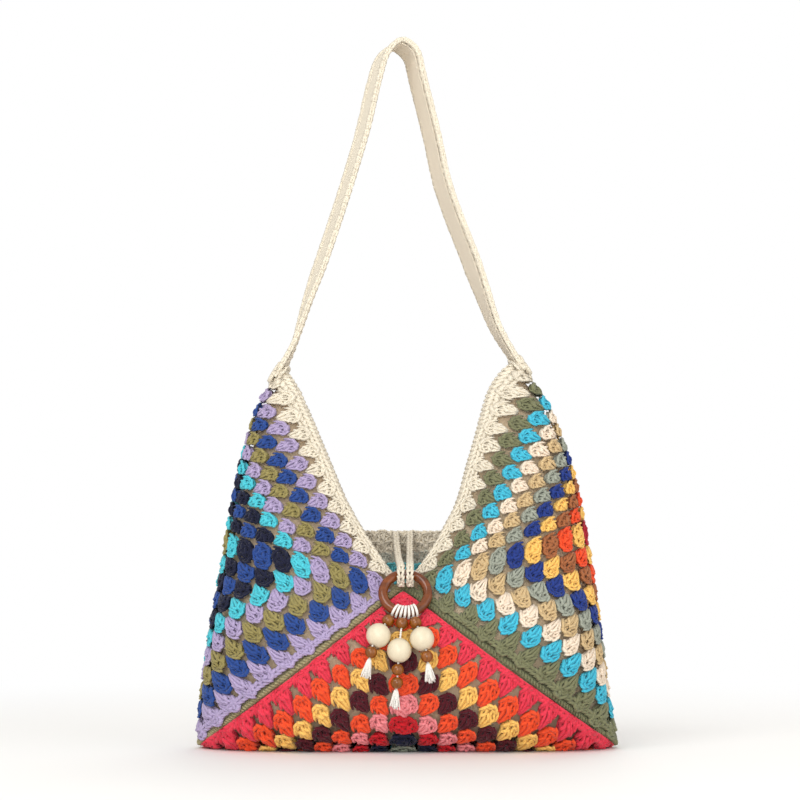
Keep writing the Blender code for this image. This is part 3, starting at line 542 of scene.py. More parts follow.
def cloth_material(name, colour, pitch=0.0007):
    """Plain woven cotton: crossing threads from two sets of bands, with slubs, soft patches and painted shade
    where the threads dip.
    """
    made, tree, shader = nodes_of(name)
    split = joined(tree, "SeparateXYZ", {"Vector": own_place(tree)}).outputs
    rate = 2 * math.pi / pitch
    slope = weighted(tree, (split["X"], 1.0), (split["Y"], 0.9))
    warp, weft = (maths(tree, "SINE", maths(tree, "MULTIPLY", run, rate)) for run in (slope, split["Z"]))
    # weave runs low where the threads dip under each other: it shapes the bump, and the base colour darkens
    # towards its low values as painted shade there.
    weave = maths(tree, "MULTIPLY_ADD", maths(tree, "MULTIPLY", warp, weft), 0.5, 0.5)
    slubs = noise(tree, 260, 3.0, (1, 1, 0.15))
    tone = weighted(tree, (noise(tree, 22, 3.0), 0.6), (slubs, 0.4))
    base = blend_colours(tree, tone, linear(colour, 0.94), linear(colour, 1.06))
    height = weighted(tree, (weave, 1.0), (slubs, 0.7))
    joined(tree, shader, {
        "Base Color": blend_colours(tree, weave, linear(colour, 0.93), base),
        "Roughness": 0.9, "Specular IOR Level": 0.2, "Sheen Weight": 0.1,
        "Normal": bump(tree, height, 0.00025),
    })
    return made


def wood_material(name, dark, light, roughness, coat, grain, stretch):
    """Turned wood under varnish: long grain streaks, fine pores and a clear coat."""
    made, tree, shader = nodes_of(name)
    streaks = noise(tree, grain, 4.0, stretch)
    pores = noise(tree, grain * 9, 2.0, stretch)
    share = weighted(tree, (streaks, 1.5), (noise(tree, 60, 2.0), 0.4))
    share = maths(tree, "MINIMUM", maths(tree, "SUBTRACT", share, 0.45), 1.0)
    base = blend_colours(tree, maths(tree, "MAXIMUM", share, 0.0), linear(dark), linear(light))
    fleck = maths(tree, "MULTIPLY", maths(tree, "GREATER_THAN", pores, 0.66), 0.35)
    joined(tree, shader, {
        "Base Color": blend_colours(tree, fleck, base, linear(dark, 0.7)),
        "Roughness": maths(tree, "MULTIPLY_ADD", streaks, 0.12, roughness - 0.06),
        "Coat Weight": coat, "Specular IOR Level": 0.25, "Coat Roughness": 0.06,
        "Normal": bump(tree, maths(tree, "ADD", streaks, pores), 0.00006),
    })
    return made


class Skin:
    """A table of surface points and outward directions, read at places in units of the table's range."""

    def __init__(self, place, low, high, count, flat):
        self.flat = flat
        self.low, self.high, self.count = np.array(low), np.array(high), np.array(count)
        self.at = np.zeros((count[0], count[1], 3))
        self.out = np.zeros((count[0], count[1], 3))
        depth = 3 * MM
        for i in range(count[0]):
            for j in range(count[1]):
                a = low[0] + (high[0] - low[0]) * i / (count[0] - 1)
                b = low[1] + (high[1] - low[1]) * j / (count[1] - 1)
                point = place(a, b)
                self.at[i, j] = point
                self.out[i, j] = (point - lift(point, depth)) / depth
        middle = [n // 2 for n in count]
        along = self.at[middle[0] + 1, middle[1]] - self.at[middle[0], middle[1]]
        across = self.at[middle[0], middle[1] + 1] - self.at[middle[0], middle[1]]
        self.mirrored = np.dot(np.cross(along, across), self.out[middle[0], middle[1]]) < 0

    def laid(self, points):
        """Points in flat millimetres, laid on the skin."""
        return self(self.flat(points))

    def __call__(self, flat):
        """flat holds (a, b, height over the skin in metres)."""
        shares = (flat[..., :2] - self.low) / (self.high - self.low) * (self.count - 1)
        shares = np.clip(shares, 0, self.count - 1.0001)
        index = shares.astype(int)
        part = shares - index
        i, j = index[..., 0], index[..., 1]
        s, t = part[..., 0:1], part[..., 1:2]

        def read(table):
            return (
                table[i, j] * (1 - s) * (1 - t) + table[i + 1, j] * s * (1 - t)
                + table[i, j + 1] * (1 - s) * t + table[i + 1, j + 1] * s * t
            )

        point = read(self.at)
        sole = np.clip(1 - point[..., 2:3] / SOLE_FADE, 0, 1)
        height = flat[..., 2:3] - SOLE_INSET * sole
        point = point + read(self.out) * height
        point[..., 2] = np.maximum(point[..., 2], 0.0)
        return point


def side_skin(side):
    def place(p, q):
        return side_place(side, (p - q) / 2, (p + q) / 2)

    return Skin(place, (-1, -1), (1, 1), SKIN_POINTS, side_flat)


def base_skin():
    def place(p, q):
        corner = clamped((abs(p - q) / 2 - 0.45) / 0.5)
        reach = seam_share() + (1 - seam_share()) * 0.9 * corner
        across, ahead = (p - q) / 2 * reach, (p + q) / 2 * reach
        dip = FRONT_DIP if ahead > 0 else CORNER_DIP
        return base_place(across, ahead * (1 - dip * abs(ahead) ** 8))

    return Skin(place, (-1, -1), (1, 1), SKIN_POINTS, base_flat)


def side_flat(points):
    """Flat millimetres on a side square's own cut, as places in its skin's table."""
    out = points.copy()
    for k in (0, 1):
        share = points[..., k] / (HALF / MM)
        out[..., k] = share * np.where(share > 0, edge_share(), seam_share())
    out[..., 2] = points[..., 2] * MM
    return out


def base_flat(points):
    out = points / (HALF / MM)
    out[..., 2] = points[..., 2] * MM
    return out


def unit(vectors):
    return vectors / np.linalg.norm(vectors, axis=-1, keepdims=True)


def run_along(line):
    """The length run at each point of a line, or of each of many lines."""
    steps = np.linalg.norm(np.diff(line, axis=-2), axis=-1)
    return np.concatenate([np.zeros(steps.shape[:-1] + (1,)), np.cumsum(steps, axis=-1)], axis=-1)


def tubes(lines, radius, first, second, sides, run):
    """Rings of points about lines, spanned by two directions across them, with their yarn places."""
    turn = 2 * np.pi * np.arange(sides) / sides
    radius = np.broadcast_to(np.asarray(radius, float), lines.shape[:2])
    ring = np.cos(turn)[:, None] * first[:, :, None] + np.sin(turn)[:, None] * second[:, :, None]
    points = lines[:, :, None] + ring * radius[:, :, None, None]
    yarn = np.zeros(points.shape)
    yarn[..., 0] = run[:, :, None]
    yarn[..., 1] = np.cos(turn)
    yarn[..., 2] = np.sin(turn)
    return points, yarn


def swept(place, lines, radius, sides=5):
    """Round strands along lines in millimetres, (strand, point, xyz), mapped by place, and yarn places."""
    ahead = np.gradient(lines, axis=1)
    ahead /= np.linalg.norm(ahead, axis=2, keepdims=True) + 1e-12
    beside = np.cross(ahead, LEVEL)
    beside /= np.linalg.norm(beside, axis=2, keepdims=True) + 1e-12
    run = run_along(lines) + CHANCE.uniform(0, 9, (len(lines), 1))
    points, yarn = tubes(lines, radius, beside, np.cross(beside, ahead), sides, run)
    return place(points), yarn


def strand_mesh(name, batches, material, body, node=None, flip=False):
    """One mesh from batches of swept strands, each (strand, point, side, xyz)."""
    places, yarns, quads, ends, base = [], [], [], [], 0
    for points, yarn in batches:
        ids = base + np.arange(points[..., 0].size).reshape(points.shape[:3])
        after = np.roll(ids, -1, axis=2)
        quad = np.stack([ids[:, :-1], ids[:, 1:], after[:, 1:], after[:, :-1]], axis=-1).reshape(-1, 4)
        first, last = ids[:, 0], ids[:, -1, ::-1]
        if flip:
            quad, first, last = quad[:, ::-1], first[:, ::-1], last[:, ::-1]
        quads += quad.tolist()
        ends += first.tolist() + last.tolist()
        places.append(points.reshape(-1, 3))
        yarns.append(yarn.reshape(-1, 3))
        base += ids.size
    made = piece(name, np.concatenate(places), quads + ends, material, body, node)
    store = made.data.attributes.new("yarn", "FLOAT_VECTOR", "POINT")
    store.data.foreach_set("vector", np.concatenate(yarns).ravel())
    return made


def shown(name, data):
    made = bpy.data.objects.new(name, data)
    bpy.context.scene.collection.objects.link(made)
    return made


def aimed(name, data, place, towards):
    """A camera or lamp at a place, looking along a direction."""
    made = shown(name, data)
    made.location = place
    made.rotation_mode = "QUATERNION"
    made.rotation_quaternion = towards.to_track_quat("-Z", "Y")
    return made


def piece(name, points, faces, material, body, node=None):
    """A smooth mesh that rides on a body and replaces a node of it."""
    mesh = bpy.data.meshes.new(name)
    mesh.from_pydata(np.asarray(points).reshape(-1, 3).tolist(), [], faces)
    mesh.polygons.foreach_set("use_smooth", np.ones(len(faces), bool))
    mesh.materials.append(material)
    mesh.update()
    made = shown(name, mesh)
    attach(made, body)
    if node:
        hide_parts(node)
    return made


def fan_lines():
    """Strands of one cluster, in millimetres from its foot: posts that fan out, wraps and a round of caps."""
    t = np.linspace(0, 1, 5)
    lines, tops = [], []
    for u in (-1.0, -0.6, -0.2, 0.2, 0.6, 1.0):
        x = u * (1.0 + 6.1 * t ** 0.8) + 0.3 * np.sin(5 * t + 3 * u)
        y = -4.2 + (14.6 - 2.4 * u * u) * t
        w = 2.7 * np.sin(np.pi * np.minimum(0.1 + 0.75 * t, 1)) * (1 - 0.32 * u * u) + 0.7 * np.sin(7 * u)
        lines.append(np.stack([x, y, w], axis=1))
    for j, lean in ((-1, 1), (0, -1), (1, -1)):
        x = 3.9 * j + 3.8 * lean * (t - 0.5)
        y = 3.2 + 4.0 * t - 0.8 * j * j
        w = 3.3 + 0.7 * np.sin(np.pi * t) - 1.0 * j * j
        lines.append(np.stack([x, y, w], axis=1))
    s = np.linspace(0, 1, 4)
    for i in range(4):
        a = -1.02 + 0.5 * i + 0.62 * s
        for side in (1, -1):
            reach = side * 1.55 * (1 - 0.85 * s)
            x = (7.3 + reach) * np.sin(1.45 * a)
            y = 4.4 + (7.6 + reach) * np.cos(1.45 * a)
            w = 2.4 - 1.2 * a * a + 0.9 * np.sin(np.pi * s) + 0.3 * side
            tops.append(np.stack([x, y, w], axis=1))
    return np.array(lines), np.array(tops)


LEAF = ((0, -4.4), (2.4, -2.2), (5.0, 1.2), (7.0, 5.2), (6.4, 9.0), (3.6, 11.4), (0, 12.2))


def leaf_rings():
    """The dense heart of one cluster as rings of points, in millimetres from its foot."""
    half = np.array(LEAF, float)
    outline = np.concatenate([half, half[-2:0:-1] * (-1, 1)])[::-1]
    middle = np.array((0, 5.0))
    rings = []
    for share, w in ((0.02, -1.8), (0.9, -1.7), (0.96, -1.0), (0.75, -0.1), (0.02, 0.5)):
        ring = middle + (outline - middle) * share
        rings.append(np.concatenate([ring, np.full((len(ring), 1), w)], axis=1))
    return np.array(rings)


def place_fans(templates, feet, turns, scale):
    """The templates' points at each foot, turned and with small changes from fan to fan."""
    count = len(feet)
    size = np.array(scale) * (1 + CHANCE.normal(0, 0.04, (count, 3)))
    shift = CHANCE.normal(0, FAN_SLACK, (count, 2))
    lean = turns + CHANCE.normal(0, 0.06, count)
    cosine, sine = np.cos(lean)[:, None, None], np.sin(lean)[:, None, None]
    out = []
    for template in templates:
        lines = np.broadcast_to(template, (count,) + template.shape) * size[:, None, None]
        if template is not templates[-1]:
            lines = lines + CHANCE.normal(0, STRAND_SLACK, (count, len(template), 1, 3))
        x, y = lines[..., 0] + shift[:, :1, None], lines[..., 1] + shift[:, 1:, None]
        lines[..., 0] = cosine * x - sine * y + feet[:, 0][:, None, None]
        lines[..., 1] = sine * x + cosine * y + feet[:, 1][:, None, None]
        out.append(lines)
    return out


def round_feet(number, sides=range(4), skip=None):
    """Feet in millimetres and turns of the clusters of a round."""
    corners = ((1, 1), (-1, 1), (-1, -1), (1, -1))
    feet, turns = [], []
    for side in sides:
        here, there = np.array(corners[side], float), np.array(corners[(side + 1) % 4], float)
        for k in range(number + 1):
            share = k / number if number else 0.5
            foot = (here * (1 - share) + there * share) * number / ROUNDS * HALF / MM
            if skip and skip(side, foot):
                continue
            feet.append(foot if number else np.zeros(2))
            turns.append((0, math.pi / 2, math.pi, -math.pi / 2)[side])
    return np.array(feet), np.array(turns)


def fans(feet, turns, place, scale=FAN_SCALE, face=1, sides=(5, 4), shift=0.0):
    """Batches of strands and hearts for fans; a face of -1 turns them over, and shift lifts them."""
    templates = [part * (1, 1, face) for part in (*fan_lines(), leaf_rings())]
    posts, tops, hearts = place_fans(templates, feet, turns, scale)
    out = []
    for lines, radius, around in zip((posts, tops), (POST_RADIUS, CAP_RADIUS), sides):
        out.append(swept(place, lines.reshape(-1, lines.shape[2], 3) + (0, 0, shift), radius, around))
    hearts = hearts[:, :, ::face] + (0, 0, shift)
    yarn = np.zeros(hearts.shape)
    yarn[..., 0] = hearts[..., 0] * 0.8
    yarn[..., 1] = 1
    return out + [(place(hearts), yarn)]


def edge_rows(sides, skin):
    """A chain of V stitches along sides of a square, over the tops of its last round."""
    out = []
    rim = HALF / MM
    for side in sides:
        legs = braid(2 * (rim - EDGE_INSET), 5.0, 1.5, 1.9)
        along, across = legs[..., 0] - rim + EDGE_INSET, legs[..., 1] + rim - EDGE_INSET
        placed = legs.copy()
        placed[..., 0] = (along, -across, -along, across)[side]
        placed[..., 1] = (across, along, -across, -along)[side]
        out.append(swept(skin.laid, placed, 1.1))
    return out


def square(name, skin, yarns, joined):
    """A granny square, one piece for each round; joined numbers the sides that meet a seam."""
    for number, colour in enumerate(yarns):
        feet, turns = round_feet(number)
        drawn = np.isin(turns, (0, -math.pi / 2))[:, None] & (len(joined) < 4)
        batches = fans(feet, turns, skin.laid, np.where(drawn, DRAWN_FAN_SCALE, FAN_SCALE))
        if number == len(yarns) - 1:
            batches += edge_rows(joined, skin)
        strand_mesh(
            f"{name}_round_{number + 1:02d}", batches, YARN[colour], "bag", f"{name}_square",
            skin.mirrored,
        )


def border(start, end, top, place, swapped):
    """V stitches on both faces of an edge over three cores, from start to end in millimetres."""
    order = [1, 0, 2] if swapped else [0, 1, 2]
    out = []
    for high, sign in ((1.1, 1), (1.5, -1)):
        legs = braid(end - start, BORDER_PITCH, 1.9, high) * (1, 1, sign)
        out.append(swept(place, (legs + (start, top - 0.6, 0))[..., order], 1.15))
    t = np.arange(start, end + 1, 2.5)
    for inset, size in BORDER_CORES:
        core = np.stack([t, 0 * t + top - inset, 0 * t - 0.2], axis=1)[:, order]
        out.append(swept(place, core[None], size, 6))
    return out


def braid(length, pitch, half, lift_up):
    """Legs of a row of V stitches along a line, as (leg, point, (along, across, out)) in millimetres."""
    count = max(int(round(length / pitch)), 1)
    pitch = length / count
    s = np.linspace(0, 1, STITCH_POINTS)
    legs = []
    for i in range(count):
        for side in (-1, 1):
            along = (i - 0.15 + 1.3 * s) * pitch
            across = side * half * (1 - 0.85 * s ** 1.3)
            out = lift_up + 0.75 * np.sin(np.pi * s) - 0.25
            legs.append(np.stack([along, across, out], axis=1))
    legs = np.array(legs)
    return legs + CHANCE.normal(0, STITCH_SLACK, (len(legs), 1, 3))


class Track:
    """A line in space with directions out and across at each point, read by length in millimetres."""

    def __init__(self, *rows):
        self.line, self.out, self.across = (np.array([list(v) for v in row], float) for row in rows)
        self.run = run_along(self.line) / MM
        self.length = self.run[-1]

    def read(self, table, along):
        return np.stack([np.interp(along, self.run, table[:, k]) for k in range(3)], axis=-1)

    def __call__(self, flat):
        along = flat[..., 0]
        point = self.read(self.line, along)
        beyond = (along - np.clip(along, 0, self.length))[..., None] * MM
        ahead = unit(self.read(np.gradient(self.line, axis=0), along))
        point = point + ahead * beyond + self.read(self.across, along) * flat[..., 1:2] * MM
        return point + self.read(self.out, along) * flat[..., 2:3] * MM


def camera():
    data = bpy.data.cameras.new("camera")
    data.lens = CAMERA_LENS
    back = Vector((0, -math.cos(CAMERA_ELEVATION), math.sin(CAMERA_ELEVATION)))
    place = Vector(CAMERA_TARGET) + back * CAMERA_DISTANCE
    bpy.context.scene.camera = aimed("camera", data, place, -back)


def string_routes():
    """Each bead string's route points and its beads, as the frame has them."""
    plans = {
        "left": ((-14.2 * MM, 7.8 * MM, 36), (
            ("top_bead_left", (-34, 36), 0), ("cream_bead_left", (-28, 24), 0),
            ("lower_bead_left", (-12, 6), 0),
        )),
        "middle": ((-3.0 * MM, 10.9 * MM, 37), (
            ("top_bead_middle", (-6, 26), 0), ("cream_bead_middle", (-5, 10), STRING_SHOWING),
            ("lower_bead_middle", (-3, 2), 0), ("lowest_bead_middle", (-5, -3), 0),
        )),
        "right": ((8.2 * MM, 9.7 * MM, 36), (
            ("top_bead_right", (22, 34), 0), ("cream_bead_right", (18, 24), 0),
            ("lower_bead_right", (8, 6), 0),
        )),
    }
    routes = {}
    for name, (start, beads) in plans.items():
        half = BROWN_BEAD / 2 + GAP
        direction = hanging_direction(*beads[0][1])
        knot = hung_point(*start) - direction * half
        route, carried = [knot], []
        for label, leans, spare in beads:
            diameter = CREAM_BEAD if label.startswith("cream") else BROWN_BEAD
            half = diameter / 2 + GAP
            direction = hanging_direction(*leans)
            if spare:
                knot = knot + (direction + previous).normalized() * spare
                route.append(knot)
            centre = knot + direction * half
            knot = centre + direction * half
            route += [centre, knot]
            carried.append((label, centre, direction, diameter))
            previous = direction
        route.append(route[-1] + direction * GAP)
        routes[name] = (route, carried, direction)
    return routes


def dense(route, pitch=1.0 * MM):
    out = [np.array(route[0])]
    for a, b in zip(route, route[1:]):
        a, b = np.array(a), np.array(b)
        count = max(int(np.linalg.norm(b - a) / pitch), 1)
        out += [a + (b - a) * i / count for i in range(1, count + 1)]
    return np.array(out)


def frames(line):
    """The direction along a line at each of its points, and two across it that turn with it."""
    ahead = unit(np.gradient(line, axis=0))
    first = unit(np.cross(ahead[0], (0.3, 1.0, 0.2)))
    beside = []
    for direction in ahead:
        first = unit(first - direction * np.dot(first, direction))
        beside.append(first)
    beside = np.array(beside)
    return ahead, beside, np.cross(ahead, beside)


def tube_along(line, radius, sides):
    """A tube in metres along a line, with its yarn places."""
    _, beside, above = frames(line)
    return tubes(line[None], radius, above[None], beside[None], sides, run_along(line)[None] / MM)


def twisted(line, reach, radius, strands, turns_per_metre):
    """Strands twisted round a line."""
    _, beside, above = frames(line)
    out = []
    for k in range(strands):
        angle = 2 * np.pi * (run_along(line) * turns_per_metre + k / strands)[:, None]
        out.append(tube_along(line + reach * (np.cos(angle) * beside + np.sin(angle) * above), radius, 7))
    return out


def wrapped(rows, columns):
    """Faces of a grid of points that closes on itself both ways."""
    faces = []
    for i in range(rows):
        j = (i + 1) % rows
        for k in range(columns):
            m = (k + 1) % columns
            faces.append((i * columns + k, j * columns + k, j * columns + m, i * columns + m))
    return faces


def lathe(name, centre, axis, profile, steps, material, body, node):
    """A turned piece: profile is (distance along the axis, radius) pairs of a closed outline."""
    axis = unit(np.array(axis))
    side = unit(np.cross(axis, (0.2, 0.9, 0.4)))
    turn = (2 * np.pi * np.arange(steps) / steps)[:, None]
    spokes = np.cos(turn) * side + np.sin(turn) * np.cross(axis, side)
    rings = [np.array(centre) + axis * a + r * spokes for a, r in profile]
    return piece(name, rings, wrapped(len(profile), steps), material, body, node)


def bead_profile(diameter, steps=22):
    """A ball with a bore and a small flat lip round each end of it."""
    radius, bore = diameter / 2, BEAD_BORE / 2
    tilt = math.asin((bore + 0.35 * MM) / radius)
    outline = []
    for i in range(steps + 1):
        angle = tilt + (math.pi - 2 * tilt) * i / steps
        outline.append((-radius * math.cos(angle), radius * math.sin(angle)))
    end = outline[-1][0] - 0.3 * MM
    return [(-end, bore)] + outline + [(end * share, bore) for share in (1, 0.5, 0.0, -0.5)]


def dangles():
    """The three bead strings, each a free cord that carries its beads and its tassel."""
    for name, (route, beads, direction) in string_routes().items():
        body = f"dangle_{name}"
        line = dense(route)
        string = strand_mesh(
            f"{body}_string", twisted(line, 0.46 * MM, 0.56 * MM, 2, 260), YARN["white"], body,
            f"dangle_cord_{name}",
        )
        for label, centre, axis, diameter in beads:
            kind = "cream_bead" if label.startswith("cream") else "brown_bead"
            steps = 40 if kind == "cream_bead" else 32
            lathe(
                f"{label}_turned", centre, axis, bead_profile(diameter), steps, WOOD[kind], body, label,
            )
        top, down = np.array(route[-1]), np.array(direction)
        tassel = frayed(f"tassel_{name}_threads", top, down, body, f"tassel_{name}")


def frayed(name, top, direction, body, node):
    """A bunch of fine threads that spread from the string's end."""
    side = unit(np.cross(direction, (0.1, 1, 0.3)))
    other = np.cross(direction, side)
    t = np.linspace(0, 1, 9)[:, None]
    batches = []
    for k in range(FRAY_THREADS):
        angle = k * 2.4
        reach = 0.9 * math.sqrt((k + 0.5) / FRAY_THREADS)
        spread = (4.9 * reach * (0.22 + 0.78 * t ** 0.8) * MM) + CHANCE.uniform(-0.5, 0.5) * MM * t
        wave = 0.35 * MM * np.sin(t * CHANCE.uniform(5, 10) + CHANCE.uniform(0, 6)) * t
        length = TASSEL_LENGTH * (0.99 - 0.22 * CHANCE.random())
        outward = math.cos(angle) * side + math.sin(angle) * other
        across = -math.sin(angle) * side + math.cos(angle) * other
        path = top + direction * (length * t + 0.1 * MM) + outward * spread + across * wave
        batches.append(tube_along(path, 0.62 * MM * (1 - 0.25 * t[:, 0]), 5))
    a = np.linspace(0, 4.2 * math.pi, 34)[:, None]
    knot = top + direction * 1.2 * MM + 1.15 * MM * (np.cos(a) * side + np.sin(a) * other)
    batches.append(tube_along(knot + direction * 0.35 * MM * a / math.pi, 0.55 * MM, 6))
    return strand_mesh(name, batches, YARN["white"], body, node)


def ring():
    """The turned wooden ring, and the cotton wound round its foot."""
    centre = np.array(ring_foot() + ring_up() * ring_radius())
    up = np.array(ring_up())
    right = np.array((1.0, 0, 0))
    normal = np.cross(right, up)
    major, minor, around, sides = ring_radius(), RING_TUBE / 2, 120, 28
    a = 2 * np.pi * np.arange(around)[:, None, None] / around
    b = 2 * np.pi * np.arange(sides)[None, :, None] / sides
    out = np.cos(a) * right + np.sin(a) * up
    points = centre + out * (major + minor * np.cos(b)) + normal * minor * np.sin(b)
    faces = [(p, s, r, q) for p, q, r, s in wrapped(around, sides)]
    piece("ring_turned", points, faces, WOOD["ring"], "ring", "wooden_ring")
    points_a_turn = 24
    t = np.linspace(0, 1, WRAP_TURNS * points_a_turn + 1)[:, None]
    along = WRAP_HALF_ANGLE * 0.93 * (2 * t - 1)
    spin = 2 * np.pi * WRAP_TURNS * t - 1.57
    foot = np.sin(along) * right - np.cos(along) * up
    reach = minor + 0.9 * MM
    path = centre + foot * (major + reach * np.cos(spin)) + normal * reach * np.sin(spin)
    wrap = [tube_along(path, 1.05 * MM, 8)]
    strand_mesh("ring_wrap_turns", wrap, YARN["white"], "ring", "ring_wrap")


def closure_cords():
    """The two braided cords from the back edge to the ring, each with its loop and a small knot."""
    axis = ring_axis()
    reach = (LOOP_BORE + CORD_DIAMETER) / 2
    for side, name in ((-1, "left"), (1, "right")):
        x = RING_X + side * LOOP_OFFSET
        root_x = MOUTH_FOOT_X + side * CORD_ROOT_SPACING / 2
        height = BACK_EDGE_HEIGHT - CORD_DIAMETER / 2
        root = lift(wall_point(root_x, height, False), WALL + EDGING_CLEARANCE)
        loop = []
        for i in range(LOOP_STEPS + 1):
            angle = LOOP_START + LOOP_TURN * i / LOOP_STEPS
            loop.append(Vector((x, axis.y + reach * math.cos(angle), axis.z + reach * math.sin(angle))))
        middle = root.lerp(loop[0], 0.5) - Vector((0, 0, CORD_SAG))
        lead = smooth_line([root, middle, loop[0]], CORD_LEAD_POINTS)
        line = np.array([list(p) for p in smooth_line(lead[:-1] + loop, 150)])
        ahead = frames(line)[0]
        across = unit(np.cross(ahead, np.cross((1.0, 0, 0), ahead)))
        track = Track(line, np.cross(across, ahead), across)
        batches = []
        for face in (1, -1):
            legs = braid(track.length, 4.8, 2.3, 0.35) * (1, 1, face) + (0, 0, 0.35 * face)
            batches.append(swept(track, legs, 1.15))
        t = np.linspace(0, 2 * np.pi, 44)
        knot = np.stack([
            (np.sin(t) + 2 * np.sin(2 * t)) * 0.8,
            (np.cos(t) - 2 * np.cos(2 * t)) * 0.8,
            -np.sin(3 * t) * 1.2,
        ], axis=1) * MM
        loop_part = line[-70:]
        low = loop_part[np.argmin(loop_part[:, 2])] + np.array((0, -1.8, -1.4)) * MM
        batches.append(tube_along(low + knot, 1.15 * MM, 7))
        strand_mesh(
            f"closure_{name}_crochet", batches, YARN["cream"], "bag", f"closure_cord_{name}"
        )


def line_directions(line):
    """The direction along a line at each of its points, from its neighbours."""
    last = len(line) - 1
    return [(line[min(i + 1, last)] - line[max(i - 1, 0)]).normalized() for i in range(last + 1)]


def seams():
    """Whip stitches over the joined edges, with cores that fill the ridge under them."""
    plans = ((-1, "seam_left", "khaki", "yarn_khaki"), (1, "seam_right", "sage", "yarn_sage"))
    for side, node, colour, slot in plans:
        line = seam_line(side)
        out = [(lift(p, -MM) - lift(p, MM)).normalized() for p in line]
        ahead = line_directions(line)
        out = [(o - a * o.dot(a)).normalized() for o, a in zip(out, ahead)]
        across = [a.cross(o) for a, o in zip(ahead, out)]
        track = Track(line, out, across)
        count = int(track.length / 3.1)
        s = np.linspace(-1, 1, 5)
        whips = []
        for i in range(count):
            place = (i + 0.5) / count * track.length
            whips.append(np.stack([place + 1.5 * s, 2.2 * s, 2.4 * np.cos(1.45 * s) - 0.7], axis=1))
        whips = np.array(whips) + CHANCE.normal(0, STITCH_SLACK, (count, 1, 3))
        batches = [swept(track, whips, 1.0)]
        t = np.arange(0, track.length + 3, 3.0)
        for place, depth, size in SEAM_CORES:
            core = np.stack([t, 0 * t + place, 0 * t + depth], axis=1)[None]
            batches.append(swept(track, core, size, 6))
        for points, _ in batches:
            points[..., 2] = np.maximum(points[..., 2], 0.0)
        strand_mesh(f"{node}_stitches", batches, YARN[colour], "bag", node)


def strap_track():
    """The strap's middle line, its feet drawn in a little, with its outward and cross directions."""
    fine = smooth_line(strap_line(), 420)
    low = min(LEFT_PEAK, RIGHT_PEAK)
    for point in fine:
        share = clamped((point.z - low) / STRAP_TUCK_RISE)
        point.x -= math.copysign(STRAP_TUCK, point.x) * (1 - share * share * (3 - 2 * share))
    out, across = [], []
    for here, ahead in zip(fine, line_directions(fine)):
        yaw = STRAP_YAW * clamped((here.z - low) / (STRAP_TWIST_SHARE * (STRAP_TOP - low)))
        across.append(Vector((math.sin(yaw), -math.cos(yaw), 0)))
        out.append(-ahead.cross(Vector((0, -1, 0))).normalized())
    return Track(fine, out, across)


def strap():
    """A narrow band of tight rows, a chain column along each edge, and a cotton lining on the inner face."""
    track = strap_track()
    width = STRAP_WIDTH / MM
    half = STRAP_THICKNESS / MM / 2
    along = np.linspace(0.4, track.length - 0.4, 520)
    across = np.linspace(-1, 1, 11)
    ridge = 0.28 * np.abs(np.sin(np.pi * along / STRAP_PITCH * 2))

    def band(i, j, k):
        row = ridge[i] * (1 - abs(across[j]) ** 6)
        return along[i], across[j] * (width / 2 - 1.6), (half - 1.1 + row, -half + 0.3)[k]

    count = (len(along), len(across))
    sheet_from("strap_rows", band, count, track, CLOTH["strap"], "strap")
    batches = []
    for side in (-1, 1):
        for face, lift_up in ((1, half - 1.2), (-1, half - 1.3)):
            legs = braid(track.length, STRAP_PITCH, 1.75, lift_up) * (1, 1, face)
            batches.append(swept(track, legs + (0, side * (width / 2 - 2.3), 0), 1.25))
        legs = braid(track.length, STRAP_PITCH, 1.3, 0.0)
        turned = legs.copy()
        turned[..., 1] = side * (width / 2 - 1.3 + 0.7 * legs[..., 2])
        turned[..., 2] = legs[..., 1]
        batches.append(swept(track, turned, 1.2))
    for start, turn in ((-2.0, -math.pi / 2), (track.length + 2.0, math.pi / 2)):
        feet = np.array([(start, place) for place in (-11.5, 0.0, 11.5)])
        for face, shift in ((1, half - 0.9), (-1, -half - 1.2)):
            batches += fans(feet, np.full(3, turn), track, (0.95, 1.1, 0.6), face, shift=shift)
    strand_mesh("strap_edges", batches, YARN["cream"], "bag", "strap")
    strap_lining(track, half)


def strap_lining(track, half):
    """The cotton lining of the strap, and the row of stitches along each of its edges."""
    along = np.linspace(0.5, track.length - 0.5, 230)
    across = np.linspace(-1, 1, 13)
    depth = -(half + GAP / MM)
    reach = STRAP_LINING_WIDTH / MM / 2

    def cloth(i, j, k):
        a, b = along[i], across[j]
        ripple = 0.12 * math.sin(a * 0.9 + 2.0 * b) * (1 - abs(b))
        return a, b * (reach - 2.4 + 0.2 * math.sin(a * 0.42)), depth - k * 0.7 - ripple

    count = (len(along), len(across))
    material = CLOTH["strap_lining"]
    sheet_from("strap_lining_cloth", cloth, count, track, material, "strap_lining")
    s = np.linspace(0, 1, 4)
    sunk = depth - 0.75 - 0.3 * np.sin(np.pi * s)
    stitches = []
    for side in (-1, 1):
        for i in range(int(track.length / LINING_STITCH)):
            place = side * (reach - 3.6) + 0 * s
            stitches.append(np.stack([i * LINING_STITCH + 3.4 * s + 2, place, sunk], axis=1))
    batches = [swept(track, np.array(stitches), 0.3, 5)]
    strand_mesh("strap_lining_stitches", batches, YARN["cream"], "bag")


